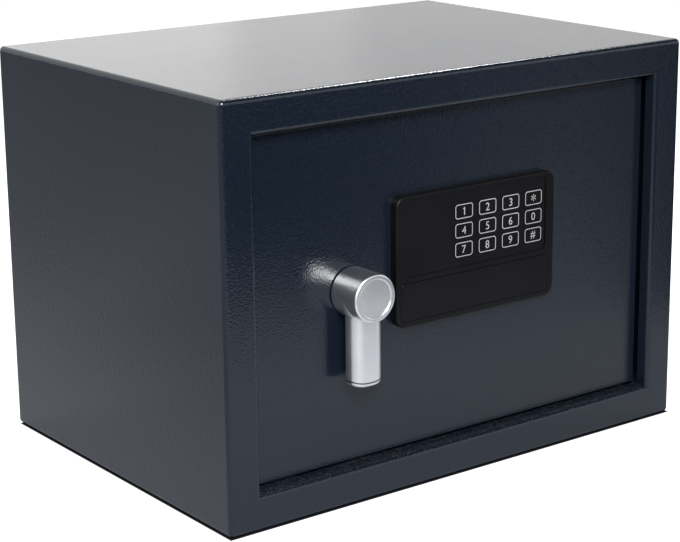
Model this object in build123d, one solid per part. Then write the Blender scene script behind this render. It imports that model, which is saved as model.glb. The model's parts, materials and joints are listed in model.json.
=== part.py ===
from build123d import *
import os
from math import cos, radians, sin

# Electronic safe, in millimetres
# X runs to the right, Y to the back and Z up
# The origin is the centre of the cabinet's underside

# Cabinet
CABINET_WIDTH = 350.0
CABINET_DEPTH = 250.0
CABINET_HEIGHT = 250.0
SHEET = 2.0
FOLD_RADIUS = 3.0
FRAME_BORDER = 21.5
LIP_DEPTH = 16.0
BACK_INSET = 1.0
ANCHOR_SPACING = 200.0
ANCHOR_HOLE_RADIUS = 5.0
MAT_THICKNESS = 2.0
MAT_MARGIN = 2.0
MAT_HOLE_RADIUS = 8.0

# Hinge
HINGE_PLATE_LENGTH = 53.0
HINGE_PLATE_THICKNESS = 3.0
HINGE_SETBACK = 8.0
HINGE_OPEN_GAP = 2.0
HINGE_PIN_RADIUS = 3.0
HINGE_PIN_GRIP = 20.0
HINGE_BLOCK_WIDTH = 12.0
HINGE_BLOCK_HEIGHT = 25.0
HINGE_BLOCK_WALL = 2.0
HINGE_LIP_BACKSET = 1.5
HINGE_PLATE_MARGIN = 10.0
HINGE_PIN_PROUD = 1.0

# Door
DOOR_RECESS = 10.5
DOOR_THICKNESS = 4.0
DOOR_GAP = 1.8
DOOR_EDGE_RADIUS = 0.8
STOP_LENGTH = 20.0
STOP_HEIGHT = 4.0
STOP_THICKNESS = 2.0
STOP_FROM_SIDE = 13.5

# Turning knob
KNOB_FROM_DOOR_EDGE = 70.2
KNOB_ABOVE_DOOR_CENTRE = 2.2
KNOB_RADIUS = 14.5
KNOB_PROJECTION = 23.8
KNOB_EDGE_RADIUS = 1.3
KNOB_RIM_ROUNDING = 0.7
KNOB_DISC_RADIUS = 11.2
KNOB_DISC_RECESS = 0.8
KNOB_DISC_THICKNESS = 1.6
LEVER_WIDTH = 22.2
LEVER_REACH = 53.9
LEVER_THICKNESS = 9.2
LEVER_PROJECTION = 18.8
LEVER_END_RADIUS = 45.0
LEVER_FRONT_ROUNDING = 7.6
LEVER_END_ROUNDING = 1.8
LEVER_GROOVE_FROM_END = 2.25
LEVER_GROOVE_WIDTH = 0.6
LEVER_GROOVE_DEPTH = 0.9
SHOULDER_DROP = 2.2
SHAFT_RADIUS = 4.0
SHAFT_IN_KNOB = 10.0
SHAFT_THREAD_RADIUS = 3.0
BUSH_RADIUS = 6.0
BUSH_FLANGE_RADIUS = 8.0
WASHER_THICKNESS = 0.7
WASHER_RADIUS = 13.0
KNOB_SCREW_RADIUS = 2.0
KNOB_SCREW_HEAD_RADIUS = 3.5
KNOB_SCREW_HEAD_HEIGHT = 2.5
KNOB_SCREW_LENGTH = 9.0
KNOB_WEB = 1.5

# Bolt work
BOLT_RADIUS = 8.0
BOLT_LENGTH = 38.0
BOLT_SPREAD = 84.0
BOLT_STANDOFF = 11.0
BOLT_SCREW_RADIUS = 3.0
BOLT_SCREW_HEAD_RADIUS = 5.1
BOLT_SCREW_LENGTH = 14.0
CRANK_RADIUS = 10.0
CRANK_PIN_RADIUS = 2.5
CRANK_SLOT_PLAY = 0.6
CAM_RADIUS = 14.0
CAM_THICKNESS = 3.0
CAM_NUT_FLATS = 10.0
CAM_NUT_HEIGHT = 3.0
CARRIER_GAP = 0.6
CARRIER_THICKNESS = 2.0
CARRIER_FLANGE_THICKNESS = 2.0
CARRIER_EDGE_MARGIN = 10.0
CARRIER_RIGHT_OF_KNOB = 23.5
CARRIER_TALL_WIDTH = 14.0
CARRIER_SHORT_ABOVE_KNOB = 36.0
GUIDE_THICKNESS = 2.5
GUIDE_FROM_DOOR_EDGE = 3.2
GUIDE_FOOT = 12.0
BOLT_BEHIND_DOOR_EDGE = 1.7
STUD_RADIUS = 3.0
STUD_HEAD_RADIUS = 5.0
STUD_HEAD_HEIGHT = 1.5
STUD_EMBED = 2.0
STUD_FROM_KNOB = 16.5
STUD_SPREAD = 44.0

# Electric lock
PLUNGER_FROM_KNOB = 51.5
PLUNGER_RADIUS = 3.5
PLUNGER_STANDOFF = 8.75
PLUNGER_IN_COIL_SHARE = 0.5
CROSS_PIN_RADIUS = 1.5
CROSS_PIN_ABOVE_TIP = 6.5
CROSS_PIN_REACH = 7.5
ARM_BOTTOM_ABOVE_KNOB = 12.8
ARM_HEIGHT = 12.0
SHELF_OVERHANG = 9.5
SHELF_LENGTH = 23.5
SHELF_DEPTH = 13.0
SOLENOID_ABOVE_SHELF = 18.0
SOLENOID_WIDTH = 21.0
SOLENOID_BELOW_COVER = 9.0
SOLENOID_SHEET = 1.5
SOLENOID_EAR = 8.0
SOLENOID_EAR_HEIGHT = 12.0
COIL_FLANGE_GAP = 0.05
COIL_FLANGE_STEP = 0.6
SPRING_RADIUS = 4.8
SPRING_WALL = 0.8

# Keypad
KEYPAD_FROM_KNOB = 29.5
KEYPAD_WIDTH = 124.1
KEYPAD_HEIGHT = 79.7
KEYPAD_BOTTOM_BELOW_KNOB = 28.4
KEYPAD_DEPTH = 6.0
KEYPAD_CORNER = 6.5
KEYPAD_EDGE_ROUNDING = 1.4
KEYPAD_RIM_LEFT = 5.5
KEYPAD_RIM_RIGHT = 7.1
KEYPAD_RIM_TOP = 3.2
KEYPAD_WALL = 2.0
KEYPAD_FACE_RECESS = 0.6
KEYPAD_FACE_THICKNESS = 1.3
KEY_WIDTH = 14.0
KEY_HEIGHT = 9.3
KEY_CORNER = 1.7
KEY_PITCH_X = 18.5
KEY_PITCH_Z = 11.7
KEY_PROUD = 0.4
KEY_TRAVEL = 0.6
KEY_FLANGE_THICKNESS = 0.5
KEY_FLANGE_WIDTH = 0.8
KEYS_FROM_RIGHT = 17.3
KEYS_FROM_TOP = 15.4
PAD_THICKNESS = 0.6
BOARD_THICKNESS = 1.2
STRIP_MARGIN_LEFT = 3.2
STRIP_MARGIN_RIGHT = 4.8
STRIP_MARGIN_BOTTOM = 3.7
STRIP_HEIGHT = 22.9
STRIP_CORNER = 2.6
STRIP_PROUD = 0.3
STRIP_THICKNESS = 2.1
STRIP_GAP = 0.25
STRIP_LEG_WIDTH = 6.0
STRIP_LEG_THICKNESS = 1.2
STRIP_LEG_LENGTH = 3.2
STRIP_LEG_FROM_SIDE = 5.5
POCKET_FLOOR = 2.5
KEYPAD_SCREW_INSET = 6.1
LOW_SCREW_FROM_RIGHT = 32.1
SCREW_RADIUS = 1.5
SCREW_HEAD_RADIUS = 2.7

# Emergency lock
LOCK_HEAD_RADIUS = 9.2
LOCK_HEAD_THICKNESS = 1.0
LOCK_RADIUS = 8.0
LOCK_LENGTH = 21.0
PLUG_RADIUS = 5.0
PLUG_SQUARE = 6.0
KEYWAY_HEIGHT = 7.0
KEYWAY_WIDTH = 1.4
KEYWAY_DEPTH = 12.0
LOCK_NUT_FLATS = 22.0
LOCK_NUT_HEIGHT = 3.0
ARM_THICKNESS = 2.0
ARM_WIDTH = 8.0
ARM_HUB_RADIUS = 6.5
RIVET_RADIUS = 4.5
RIVET_HEIGHT = 0.8

# Inner cover
COVER_SHEET = 1.0
COVER_DEPTH = 34.0
COVER_TOP_MARGIN = 18.7
COVER_RIGHT_MARGIN = 33.7
COVER_FLANGE = 9.0
COVER_SCREW_FROM_END = 21.0
COVER_SCREW_RADIUS = 2.0
COVER_SCREW_HEAD_RADIUS = 3.6
COVER_SCREW_HEAD_HEIGHT = 2.0
COVER_SCREW_LENGTH = 3.0

# Batteries
CELL_RADIUS = 7.25
CELL_LENGTH = 49.0
CELL_NIB_RADIUS = 2.6
CELL_NIB_LENGTH = 1.3
CELL_PITCH = 15.6
CELL_COUNT = 4
TRAY_WALL = 1.6
TRAY_DEPTH = 19.0
TRAY_FROM_COVER_RIGHT = 6.0
TRAY_BELOW_CENTRE = 63.0
TRAY_RIM = 2.0
TRAY_RIM_THICKNESS = 1.0
CONTACT_SPACE = 3.2
CONTACT_THICKNESS = 0.4
FOOT_COIL_RADIUS = 4.2
COIL_WIRE = 0.8
CONTACT_MARGIN = 1.0
LID_THICKNESS = 1.5
LID_PLUG = 1.7
LID_NOTCH_RADIUS = 6.0

# Control board
CONTROL_WIDTH = 50.0
CONTROL_HEIGHT = 58.0
CONTROL_THICKNESS = 1.6
CONTROL_ABOVE_TRAY = 8.0
CONTROL_BEHIND_DOOR = 20.5
STANDOFF_RADIUS = 3.0
BOARD_SCREW_INSET = 4.0
SWITCH_SIZE = 6.0
SWITCH_HEIGHT = 3.5
CHIP_HEIGHT_SHARE = 0.45
CHIP_THICKNESS = 1.5
BUZZER_HEIGHT_SHARE = 0.75
PLUG_BLOCK_LENGTH = 8.0
PLUG_BLOCK_WIDTH = 8.0
PLUG_BLOCK_HEIGHT = 5.0
BUTTON_RADIUS = 3.0
BUTTON_PROUD = 1.5
BUTTON_TRAVEL = 1.0
BUTTON_FLANGE_RADIUS = 4.5
BUTTON_FLANGE_THICKNESS = 1.0
GROMMET_RADIUS = 6.0
GROMMET_LIP = 1.2
CABLE_HOLE_SHARE = 0.6
CABLE_RADIUS = 1.5
LEAD_RADIUS = 0.8

# Clearances
SEAT_GAP = 0.3
RUNNING_FIT = 0.05
PRESS_FIT = 0.02
SLIDE_GAP = 0.25
END_STOP_GAP = 0.2

# Places worked out from the sizes
HALF_WIDTH = CABINET_WIDTH / 2
FRONT_Y = -CABINET_DEPTH / 2
REAR_Y = CABINET_DEPTH / 2
OPEN_X0 = -HALF_WIDTH + FRAME_BORDER
OPEN_X1 = HALF_WIDTH - FRAME_BORDER
OPEN_Z0 = FRAME_BORDER
OPEN_Z1 = CABINET_HEIGHT - FRAME_BORDER

DOOR_X0 = OPEN_X0 + DOOR_GAP
DOOR_X1 = OPEN_X1 - DOOR_GAP
DOOR_Z0 = OPEN_Z0 + DOOR_GAP
DOOR_Z1 = OPEN_Z1 - DOOR_GAP
DOOR_Y = FRONT_Y + DOOR_RECESS
DOOR_REAR = DOOR_Y + DOOR_THICKNESS
DOOR_MID_Z = (DOOR_Z0 + DOOR_Z1) / 2

HINGE_X = OPEN_X1 - HINGE_OPEN_GAP - HINGE_SETBACK
HINGE_Y = DOOR_Y + HINGE_SETBACK
HINGE_LIP_DEPTH = DOOR_RECESS - HINGE_LIP_BACKSET
HINGE_PLATE_X0 = HALF_WIDTH - SHEET - HINGE_PLATE_LENGTH
HINGE_PLATE_Y0 = FRONT_Y + HINGE_LIP_DEPTH
HINGE_PLATE_Y1 = HINGE_Y + HINGE_PIN_RADIUS + HINGE_PLATE_MARGIN

KNOB_X = DOOR_X0 + KNOB_FROM_DOOR_EDGE
KNOB_Z = DOOR_MID_Z + KNOB_ABOVE_DOOR_CENTRE
KNOB_FRONT_Y = DOOR_Y - KNOB_PROJECTION
KNOB_BASE_Y = DOOR_Y - WASHER_THICKNESS - SEAT_GAP
LEVER_FRONT_Y = DOOR_Y - LEVER_PROJECTION
LEVER_REAR_Y = LEVER_FRONT_Y + LEVER_THICKNESS
LEVER_END_Z = KNOB_Z - LEVER_REACH
DISC_FRONT_Y = KNOB_FRONT_Y + KNOB_DISC_RECESS
DISC_REAR_Y = DISC_FRONT_Y + KNOB_DISC_THICKNESS
SHAFT_FRONT_Y = KNOB_BASE_Y - SHAFT_IN_KNOB
SCREW_SEAT_Y = SHAFT_FRONT_Y - KNOB_WEB
SCREW_TIP_Y = SCREW_SEAT_Y + KNOB_SCREW_LENGTH

CARRIER_Y0 = DOOR_REAR + CARRIER_GAP
CARRIER_Y1 = CARRIER_Y0 + CARRIER_THICKNESS
CAM_Y0 = CARRIER_Y1 + SEAT_GAP
CAM_Y1 = CAM_Y0 + CAM_THICKNESS
CAM_NUT_Y1 = CAM_Y1 + CAM_NUT_HEIGHT
CRANK_X = KNOB_X + CRANK_RADIUS * cos(radians(45))
CRANK_Z = KNOB_Z - CRANK_RADIUS * sin(radians(45))
BOLT_THROW = 2 * CRANK_RADIUS * sin(radians(45))
BOLT_Y = DOOR_REAR + BOLT_STANDOFF
BOLT_TIP_X = DOOR_X0 + BOLT_BEHIND_DOOR_EDGE
BOLT_ROOT_X = BOLT_TIP_X + BOLT_LENGTH
BOLT_HEIGHTS = [KNOB_Z - BOLT_SPREAD / 2, KNOB_Z + BOLT_SPREAD / 2]
FLANGE_X1 = BOLT_ROOT_X + CARRIER_FLANGE_THICKNESS
CARRIER_X1 = KNOB_X + CARRIER_RIGHT_OF_KNOB
CARRIER_Z0 = BOLT_HEIGHTS[0] - CARRIER_EDGE_MARGIN
CARRIER_Z1 = BOLT_HEIGHTS[1] + CARRIER_EDGE_MARGIN
STUD_X = KNOB_X - STUD_FROM_KNOB
STUD_HEIGHTS = [KNOB_Z - STUD_SPREAD / 2, KNOB_Z + STUD_SPREAD / 2]
GUIDE_X0 = DOOR_X0 + GUIDE_FROM_DOOR_EDGE
GUIDE_X1 = GUIDE_X0 + GUIDE_THICKNESS

COVER_X0 = GUIDE_X1
COVER_X1 = DOOR_X1 - COVER_RIGHT_MARGIN
COVER_Z0 = DOOR_Z0 + COVER_TOP_MARGIN
COVER_Z1 = DOOR_Z1 - COVER_TOP_MARGIN
COVER_Y = DOOR_REAR + COVER_DEPTH
COVER_INSIDE_Y = COVER_Y - COVER_SHEET

PLUNGER_X = KNOB_X + PLUNGER_FROM_KNOB
PLUNGER_Y = DOOR_REAR + PLUNGER_STANDOFF
ARM_Z0 = KNOB_Z + ARM_BOTTOM_ABOVE_KNOB
SHELF_Z = ARM_Z0 + ARM_HEIGHT
SHELF_X1 = PLUNGER_X + SHELF_OVERHANG
SHELF_X0 = SHELF_X1 - SHELF_LENGTH
SHELF_Y1 = CARRIER_Y0 + SHELF_DEPTH
PLUNGER_Z0 = SHELF_Z + SEAT_GAP
CROSS_PIN_Z = PLUNGER_Z0 + CROSS_PIN_ABOVE_TIP
CROSS_PIN_Y1 = PLUNGER_Y + PLUNGER_RADIUS + CROSS_PIN_REACH
SOLENOID_Z0 = SHELF_Z + SOLENOID_ABOVE_SHELF
SOLENOID_Z1 = COVER_Z1 - COVER_SHEET - SOLENOID_BELOW_COVER
SOLENOID_HEIGHT = SOLENOID_Z1 - SOLENOID_Z0
PLUNGER_Z1 = SOLENOID_Z0 + PLUNGER_IN_COIL_SHARE * SOLENOID_HEIGHT
SOLENOID_Y1 = DOOR_REAR + 2 * PLUNGER_STANDOFF
COIL_FLANGE_RADIUS = PLUNGER_STANDOFF - SOLENOID_SHEET - COIL_FLANGE_GAP
COIL_RADIUS = COIL_FLANGE_RADIUS - COIL_FLANGE_STEP

KEYPAD_X0 = KNOB_X + KEYPAD_FROM_KNOB
KEYPAD_X1 = KEYPAD_X0 + KEYPAD_WIDTH
KEYPAD_Z0 = KNOB_Z - KEYPAD_BOTTOM_BELOW_KNOB
KEYPAD_Z1 = KEYPAD_Z0 + KEYPAD_HEIGHT
KEYPAD_Y = DOOR_Y - KEYPAD_DEPTH
FACE_Y = KEYPAD_Y + KEYPAD_FACE_RECESS
FACE_BACK_Y = FACE_Y + KEYPAD_FACE_THICKNESS
POCKET_X0 = KEYPAD_X0 + STRIP_MARGIN_LEFT
POCKET_X1 = KEYPAD_X1 - STRIP_MARGIN_RIGHT
POCKET_Z0 = KEYPAD_Z0 + STRIP_MARGIN_BOTTOM
POCKET_Z1 = POCKET_Z0 + STRIP_HEIGHT + 2 * STRIP_GAP
POCKET_Y = DOOR_Y - POCKET_FLOOR
FACE_Z0 = POCKET_Z1 + KEYPAD_RIM_TOP
FACE_Z1 = KEYPAD_Z1 - KEYPAD_RIM_TOP
FACE_X0 = KEYPAD_X0 + KEYPAD_RIM_LEFT
FACE_X1 = KEYPAD_X1 - KEYPAD_RIM_RIGHT
HOLLOW_Z0 = POCKET_Z1 + KEYPAD_WALL
KEY_RIGHT_X = KEYPAD_X1 - KEYS_FROM_RIGHT
KEY_TOP_Z = KEYPAD_Z1 - KEYS_FROM_TOP
KEY_FRONT_Y = FACE_Y - KEY_PROUD
KEY_FLANGE_Y = FACE_BACK_Y + END_STOP_GAP
KEY_REAR_Y = KEY_FLANGE_Y + KEY_FLANGE_THICKNESS
PAD_Y = KEY_REAR_Y + KEY_TRAVEL + END_STOP_GAP
KEY_BOARD_Y = PAD_Y + PAD_THICKNESS
STRIP_Y = KEYPAD_Y - STRIP_PROUD
STRIP_REAR_Y = STRIP_Y + STRIP_THICKNESS

LOCK_X = PLUNGER_X
LOCK_Z = (POCKET_Z0 + POCKET_Z1) / 2
LOCK_FRONT_Y = POCKET_Y - LOCK_HEAD_THICKNESS
LOCK_REAR_Y = POCKET_Y + LOCK_LENGTH
ARM_Y0 = LOCK_REAR_Y + SEAT_GAP
ARM_Y1 = ARM_Y0 + ARM_THICKNESS
ARM_LENGTH = CROSS_PIN_Z - CROSS_PIN_RADIUS - SEAT_GAP - LOCK_Z

TRAY_X1 = COVER_X1 - TRAY_FROM_COVER_RIGHT
TRAY_X0 = TRAY_X1 - CELL_LENGTH - CELL_NIB_LENGTH - 2 * CONTACT_SPACE - 2 * TRAY_WALL
TRAY_Z0 = DOOR_MID_Z - TRAY_BELOW_CENTRE
TRAY_Z1 = TRAY_Z0 + CELL_COUNT * CELL_PITCH + 2 * TRAY_WALL
TRAY_Y0 = COVER_Y - TRAY_DEPTH
CELL_Y = COVER_Y - LID_PLUG - CELL_RADIUS - 2 * SEAT_GAP
CONTROL_X1 = TRAY_X1
CONTROL_X0 = CONTROL_X1 - CONTROL_WIDTH
CONTROL_Z0 = TRAY_Z1 + CONTROL_ABOVE_TRAY
CONTROL_Z1 = CONTROL_Z0 + CONTROL_HEIGHT
CONTROL_Y0 = DOOR_REAR + CONTROL_BEHIND_DOOR
CONTROL_Y1 = CONTROL_Y0 + CONTROL_THICKNESS
BUTTON_X = (CONTROL_X0 + CONTROL_X1) / 2 + SWITCH_SIZE
BUTTON_Z = CONTROL_Z0 + 2 * SWITCH_SIZE
CABLE_HOLE_X = KEYPAD_X0 + CABLE_HOLE_SHARE * KEYPAD_WIDTH
CABLE_HOLE_Z = KEY_TOP_Z - KEY_PITCH_Z


def block(x0, x1, y0, y1, z0, z1):
    """A box between two corners."""
    return Pos((x0 + x1) / 2, (y0 + y1) / 2, (z0 + z1) / 2) * Box(x1 - x0, y1 - y0, z1 - z0)


def plate(x0, x1, z0, z1, y0, y1, corner):
    """A plate parallel to the door, with rounded corners."""
    centre = Plane(origin=((x0 + x1) / 2, y0, (z0 + z1) / 2), x_dir=(1, 0, 0), z_dir=(0, 1, 0))
    return extrude(centre * RectangleRounded(x1 - x0, z1 - z0, corner), amount=y1 - y0)


def rod_y(x, z, radius, y0, y1):
    """A round bar square to the door."""
    return Pos(x, (y0 + y1) / 2, z) * Rot(90, 0, 0) * Cylinder(radius, y1 - y0)


def rod_z(x, y, radius, z0, z1):
    """An upright round bar."""
    return Pos(x, y, (z0 + z1) / 2) * Cylinder(radius, z1 - z0)


def rod_x(y, z, radius, x0, x1):
    """A round bar along the door's width."""
    return Pos((x0 + x1) / 2, y, z) * Rot(0, 90, 0) * Cylinder(radius, x1 - x0)


def ring_y(x, z, outer, inner, y0, y1):
    """A washer or bush square to the door."""
    return rod_y(x, z, outer, y0, y1) - rod_y(x, z, inner, y0 - 1, y1 + 1)


def nut_y(x, z, flats, bore, y0, y1):
    """A hexagon nut square to the door."""
    centre = Plane(origin=(x, y0, z), x_dir=(1, 0, 0), z_dir=(0, 1, 0))
    hexagon = RegularPolygon(flats / 2, 6, major_radius=False)
    return extrude(centre * hexagon, amount=y1 - y0) - rod_y(x, z, bore, y0 - 1, y1 + 1)


def slot_x(x0, x1, z, half_height, y0, y1):
    """A straight slot along the door's width, with round ends."""
    middle = block(x0 + half_height, x1 - half_height, y0, y1, z - half_height, z + half_height)
    ends = [rod_y(x, z, half_height, y0, y1) for x in (x0 + half_height, x1 - half_height)]
    return middle + ends[0] + ends[1]


def front_edges(solid):
    """The edges round the face that looks out of the door."""
    return solid.faces().sort_by(Axis.Y)[0].edges()


def screw_from_rear(x, z, shank, head, seat_y, length, head_height):
    """A round-headed screw that goes towards the front, seated on a face behind the door."""
    shaft = rod_y(x, z, shank, seat_y - length, seat_y)
    cap = rod_y(x, z, head, seat_y, seat_y + head_height)
    cap = fillet(cap.edges().sort_by(Axis.Y)[-1], head_height * 0.45)
    slot = block(x - head, x + head, seat_y + head_height * 0.55, seat_y + head_height + 1, z - 0.4, z + 0.4)
    return shaft + cap - slot


# Cabinet


def anchor_places():
    """The anchor holes lie on one line, the same way apart in the floor and in the back."""
    return [-ANCHOR_SPACING / 2, ANCHOR_SPACING / 2]


def make_cabinet_shell():
    outer = block(-HALF_WIDTH, HALF_WIDTH, FRONT_Y, REAR_Y, 0, CABINET_HEIGHT)
    outer = fillet(outer.edges().filter_by(Axis.Y) + front_edges(outer), FOLD_RADIUS)
    side = HALF_WIDTH - SHEET
    inner = block(-side, side, FRONT_Y + SHEET, REAR_Y + SHEET, SHEET, CABINET_HEIGHT - SHEET)
    inner = fillet(inner.edges().filter_by(Axis.Y) + front_edges(inner), FOLD_RADIUS - SHEET)
    lip_end = FRONT_Y + LIP_DEPTH
    lip_z0 = OPEN_Z0 - SHEET
    lip_z1 = OPEN_Z1 + SHEET
    lips = block(OPEN_X0 - SHEET, OPEN_X1 + SHEET, FRONT_Y + SHEET / 2, lip_end, lip_z0, lip_z1)
    shell = outer - inner + lips
    hinge_room = (HINGE_PLATE_X0, OPEN_X1 + 2 * SHEET, HINGE_PLATE_Y0, lip_end + 1)
    shell -= block(*hinge_room, lip_z0 - SHEET, lip_z1 + SHEET)
    shell -= block(OPEN_X0, OPEN_X1, FRONT_Y - 1, lip_end + 1, OPEN_Z0, OPEN_Z1)
    opening_rim = shell.faces().sort_by(Axis.Y)[0].inner_wires()[0].edges()
    shell = fillet(opening_rim, FOLD_RADIUS)
    for x in anchor_places():
        shell -= rod_z(x, 0, ANCHOR_HOLE_RADIUS, -1, SHEET + 1)
    return shell


def make_back_plate():
    y1 = REAR_Y - BACK_INSET
    side = HALF_WIDTH - SHEET
    back = plate(-side, side, SHEET, CABINET_HEIGHT - SHEET, y1 - SHEET, y1, FOLD_RADIUS - SHEET)
    for x in anchor_places():
        back -= rod_y(x, CABINET_HEIGHT / 2, ANCHOR_HOLE_RADIUS, y1 - SHEET - 1, y1 + 1)
    return back


def make_hinge_plates():
    plates = []
    for z0 in (OPEN_Z0 - HINGE_PLATE_THICKNESS, OPEN_Z1):
        z1 = z0 + HINGE_PLATE_THICKNESS
        flat = block(HINGE_PLATE_X0, HALF_WIDTH - SHEET, HINGE_PLATE_Y0, HINGE_PLATE_Y1, z0, z1)
        plates.append(flat - rod_z(HINGE_X, HINGE_Y, HINGE_PIN_RADIUS + RUNNING_FIT, z0 - 1, z1 + 1))
    return Compound(children=plates)


def make_hinge_washer():
    z1 = DOOR_Z0 - SEAT_GAP
    washer = rod_z(HINGE_X, HINGE_Y, HINGE_BLOCK_WIDTH / 2, OPEN_Z0, z1)
    return washer - rod_z(HINGE_X, HINGE_Y, HINGE_PIN_RADIUS + SEAT_GAP, OPEN_Z0 - 1, z1 + 1)


def make_door_stops():
    x0 = OPEN_X0 + STOP_FROM_SIDE
    y0 = DOOR_REAR + SEAT_GAP
    low = block(x0, x0 + STOP_LENGTH, y0, y0 + STOP_THICKNESS, OPEN_Z0, OPEN_Z0 + STOP_HEIGHT)
    high = block(x0, x0 + STOP_LENGTH, y0, y0 + STOP_THICKNESS, OPEN_Z1 - STOP_HEIGHT, OPEN_Z1)
    return Compound(children=[low, high])


def make_floor_mat():
    side = HALF_WIDTH - SHEET - MAT_MARGIN
    y0 = FRONT_Y + SHEET + MAT_MARGIN
    y1 = REAR_Y - BACK_INSET - SHEET - MAT_MARGIN
    mat = block(-side, side, y0, y1, SHEET, SHEET + MAT_THICKNESS)
    mat = fillet(mat.edges().filter_by(Axis.Z), 2 * MAT_MARGIN)
    for x in anchor_places():
        mat -= rod_z(x, 0, MAT_HOLE_RADIUS, 0, SHEET + MAT_THICKNESS + 1)
    return mat


# Door


def keypad_screw_places():
    """Two screws sit at the upper corners and one beside the lock, all put in from behind."""
    inset = KEYPAD_SCREW_INSET
    top = KEYPAD_Z1 - inset
    return [(KEYPAD_X0 + inset, top), (KEYPAD_X1 - inset, top), (KEYPAD_X1 - LOW_SCREW_FROM_RIGHT, LOCK_Z)]


def cover_screw_places():
    """Three screws along the upper flange and three along the lower one."""
    places = []
    inset = COVER_FLANGE / 2
    middle = (COVER_X0 + COVER_X1) / 2
    for z in (COVER_Z0 - inset, COVER_Z1 + inset):
        for x in (COVER_X0 + COVER_SCREW_FROM_END, middle, COVER_X1 - COVER_SCREW_FROM_END):
            places.append((x, z))
    return places


def solenoid_screw_places():
    reach = SOLENOID_WIDTH / 2 + SOLENOID_EAR / 2
    z = SOLENOID_Z1 - SOLENOID_EAR_HEIGHT / 2
    return [(PLUNGER_X - reach, z), (PLUNGER_X + reach, z)]


def board_screw_places():
    places = []
    for x in (CONTROL_X0 + BOARD_SCREW_INSET, CONTROL_X1 - BOARD_SCREW_INSET):
        for z in (CONTROL_Z0 + BOARD_SCREW_INSET, CONTROL_Z1 - BOARD_SCREW_INSET):
            places.append((x, z))
    return places


def make_door_panel():
    panel = block(DOOR_X0, DOOR_X1, DOOR_Y, DOOR_REAR, DOOR_Z0, DOOR_Z1)
    panel = fillet(front_edges(panel), DOOR_EDGE_RADIUS)
    through = (DOOR_Y - 1, DOOR_REAR + 1)
    panel -= rod_y(KNOB_X, KNOB_Z, BUSH_RADIUS + PRESS_FIT, *through)
    panel -= rod_y(LOCK_X, LOCK_Z, LOCK_RADIUS + PRESS_FIT, *through)
    panel -= rod_y(CABLE_HOLE_X, CABLE_HOLE_Z, GROMMET_RADIUS + PRESS_FIT, *through)
    for x, z in keypad_screw_places():
        panel -= rod_y(x, z, SCREW_RADIUS + SLIDE_GAP, *through)
    for z in STUD_HEIGHTS:
        panel -= rod_y(STUD_X, z, STUD_RADIUS + PRESS_FIT, DOOR_REAR - STUD_EMBED, DOOR_REAR + 1)
    for x, z in cover_screw_places():
        tip_y = DOOR_REAR + COVER_SHEET - COVER_SCREW_LENGTH
        panel -= rod_y(x, z, COVER_SCREW_RADIUS + PRESS_FIT, tip_y, DOOR_REAR + 1)
    for x, z in solenoid_screw_places():
        tip_y = DOOR_REAR + SOLENOID_SHEET - COVER_SCREW_LENGTH
        panel -= rod_y(x, z, SCREW_RADIUS + PRESS_FIT, tip_y, DOOR_REAR + 1)
    return panel


def make_hinge_blocks():
    half = HINGE_BLOCK_WIDTH / 2
    y1 = HINGE_Y + HINGE_PIN_RADIUS + HINGE_BLOCK_WALL
    low = block(HINGE_X - half, HINGE_X + half, DOOR_REAR, y1, DOOR_Z0, DOOR_Z0 + HINGE_BLOCK_HEIGHT)
    high = block(HINGE_X - half, HINGE_X + half, DOOR_REAR, y1, DOOR_Z1 - HINGE_BLOCK_HEIGHT, DOOR_Z1)
    bore = HINGE_PIN_RADIUS + PRESS_FIT
    low -= rod_z(HINGE_X, HINGE_Y, bore, DOOR_Z0 - 1, DOOR_Z0 + HINGE_PIN_GRIP + PRESS_FIT)
    high -= rod_z(HINGE_X, HINGE_Y, bore, DOOR_Z1 - HINGE_PIN_GRIP - PRESS_FIT, DOOR_Z1 + 1)
    return Compound(children=[low, high])


def make_hinge_pins():
    reach = HINGE_PLATE_THICKNESS + HINGE_PIN_PROUD
    low = rod_z(HINGE_X, HINGE_Y, HINGE_PIN_RADIUS, OPEN_Z0 - reach, DOOR_Z0 + HINGE_PIN_GRIP)
    high = rod_z(HINGE_X, HINGE_Y, HINGE_PIN_RADIUS, DOOR_Z1 - HINGE_PIN_GRIP, OPEN_Z1 + reach)
    low = chamfer(low.edges().sort_by(Axis.Z)[0], HINGE_PIN_RADIUS / 6)
    high = chamfer(high.edges().sort_by(Axis.Z)[-1], HINGE_PIN_RADIUS / 6)
    return Compound(children=[low, high])


# Turning knob


def lever_bar(inset):
    """The lever's straight bar with rounded front edges, made smaller by an inset."""
    half = LEVER_WIDTH / 2 - inset
    bar = block(KNOB_X - half, KNOB_X + half, LEVER_FRONT_Y + inset, LEVER_REAR_Y, LEVER_END_Z, KNOB_Z)
    return fillet(bar.edges().filter_by(Axis.Z).group_by(Axis.Y)[0], LEVER_FRONT_ROUNDING - inset)


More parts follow.
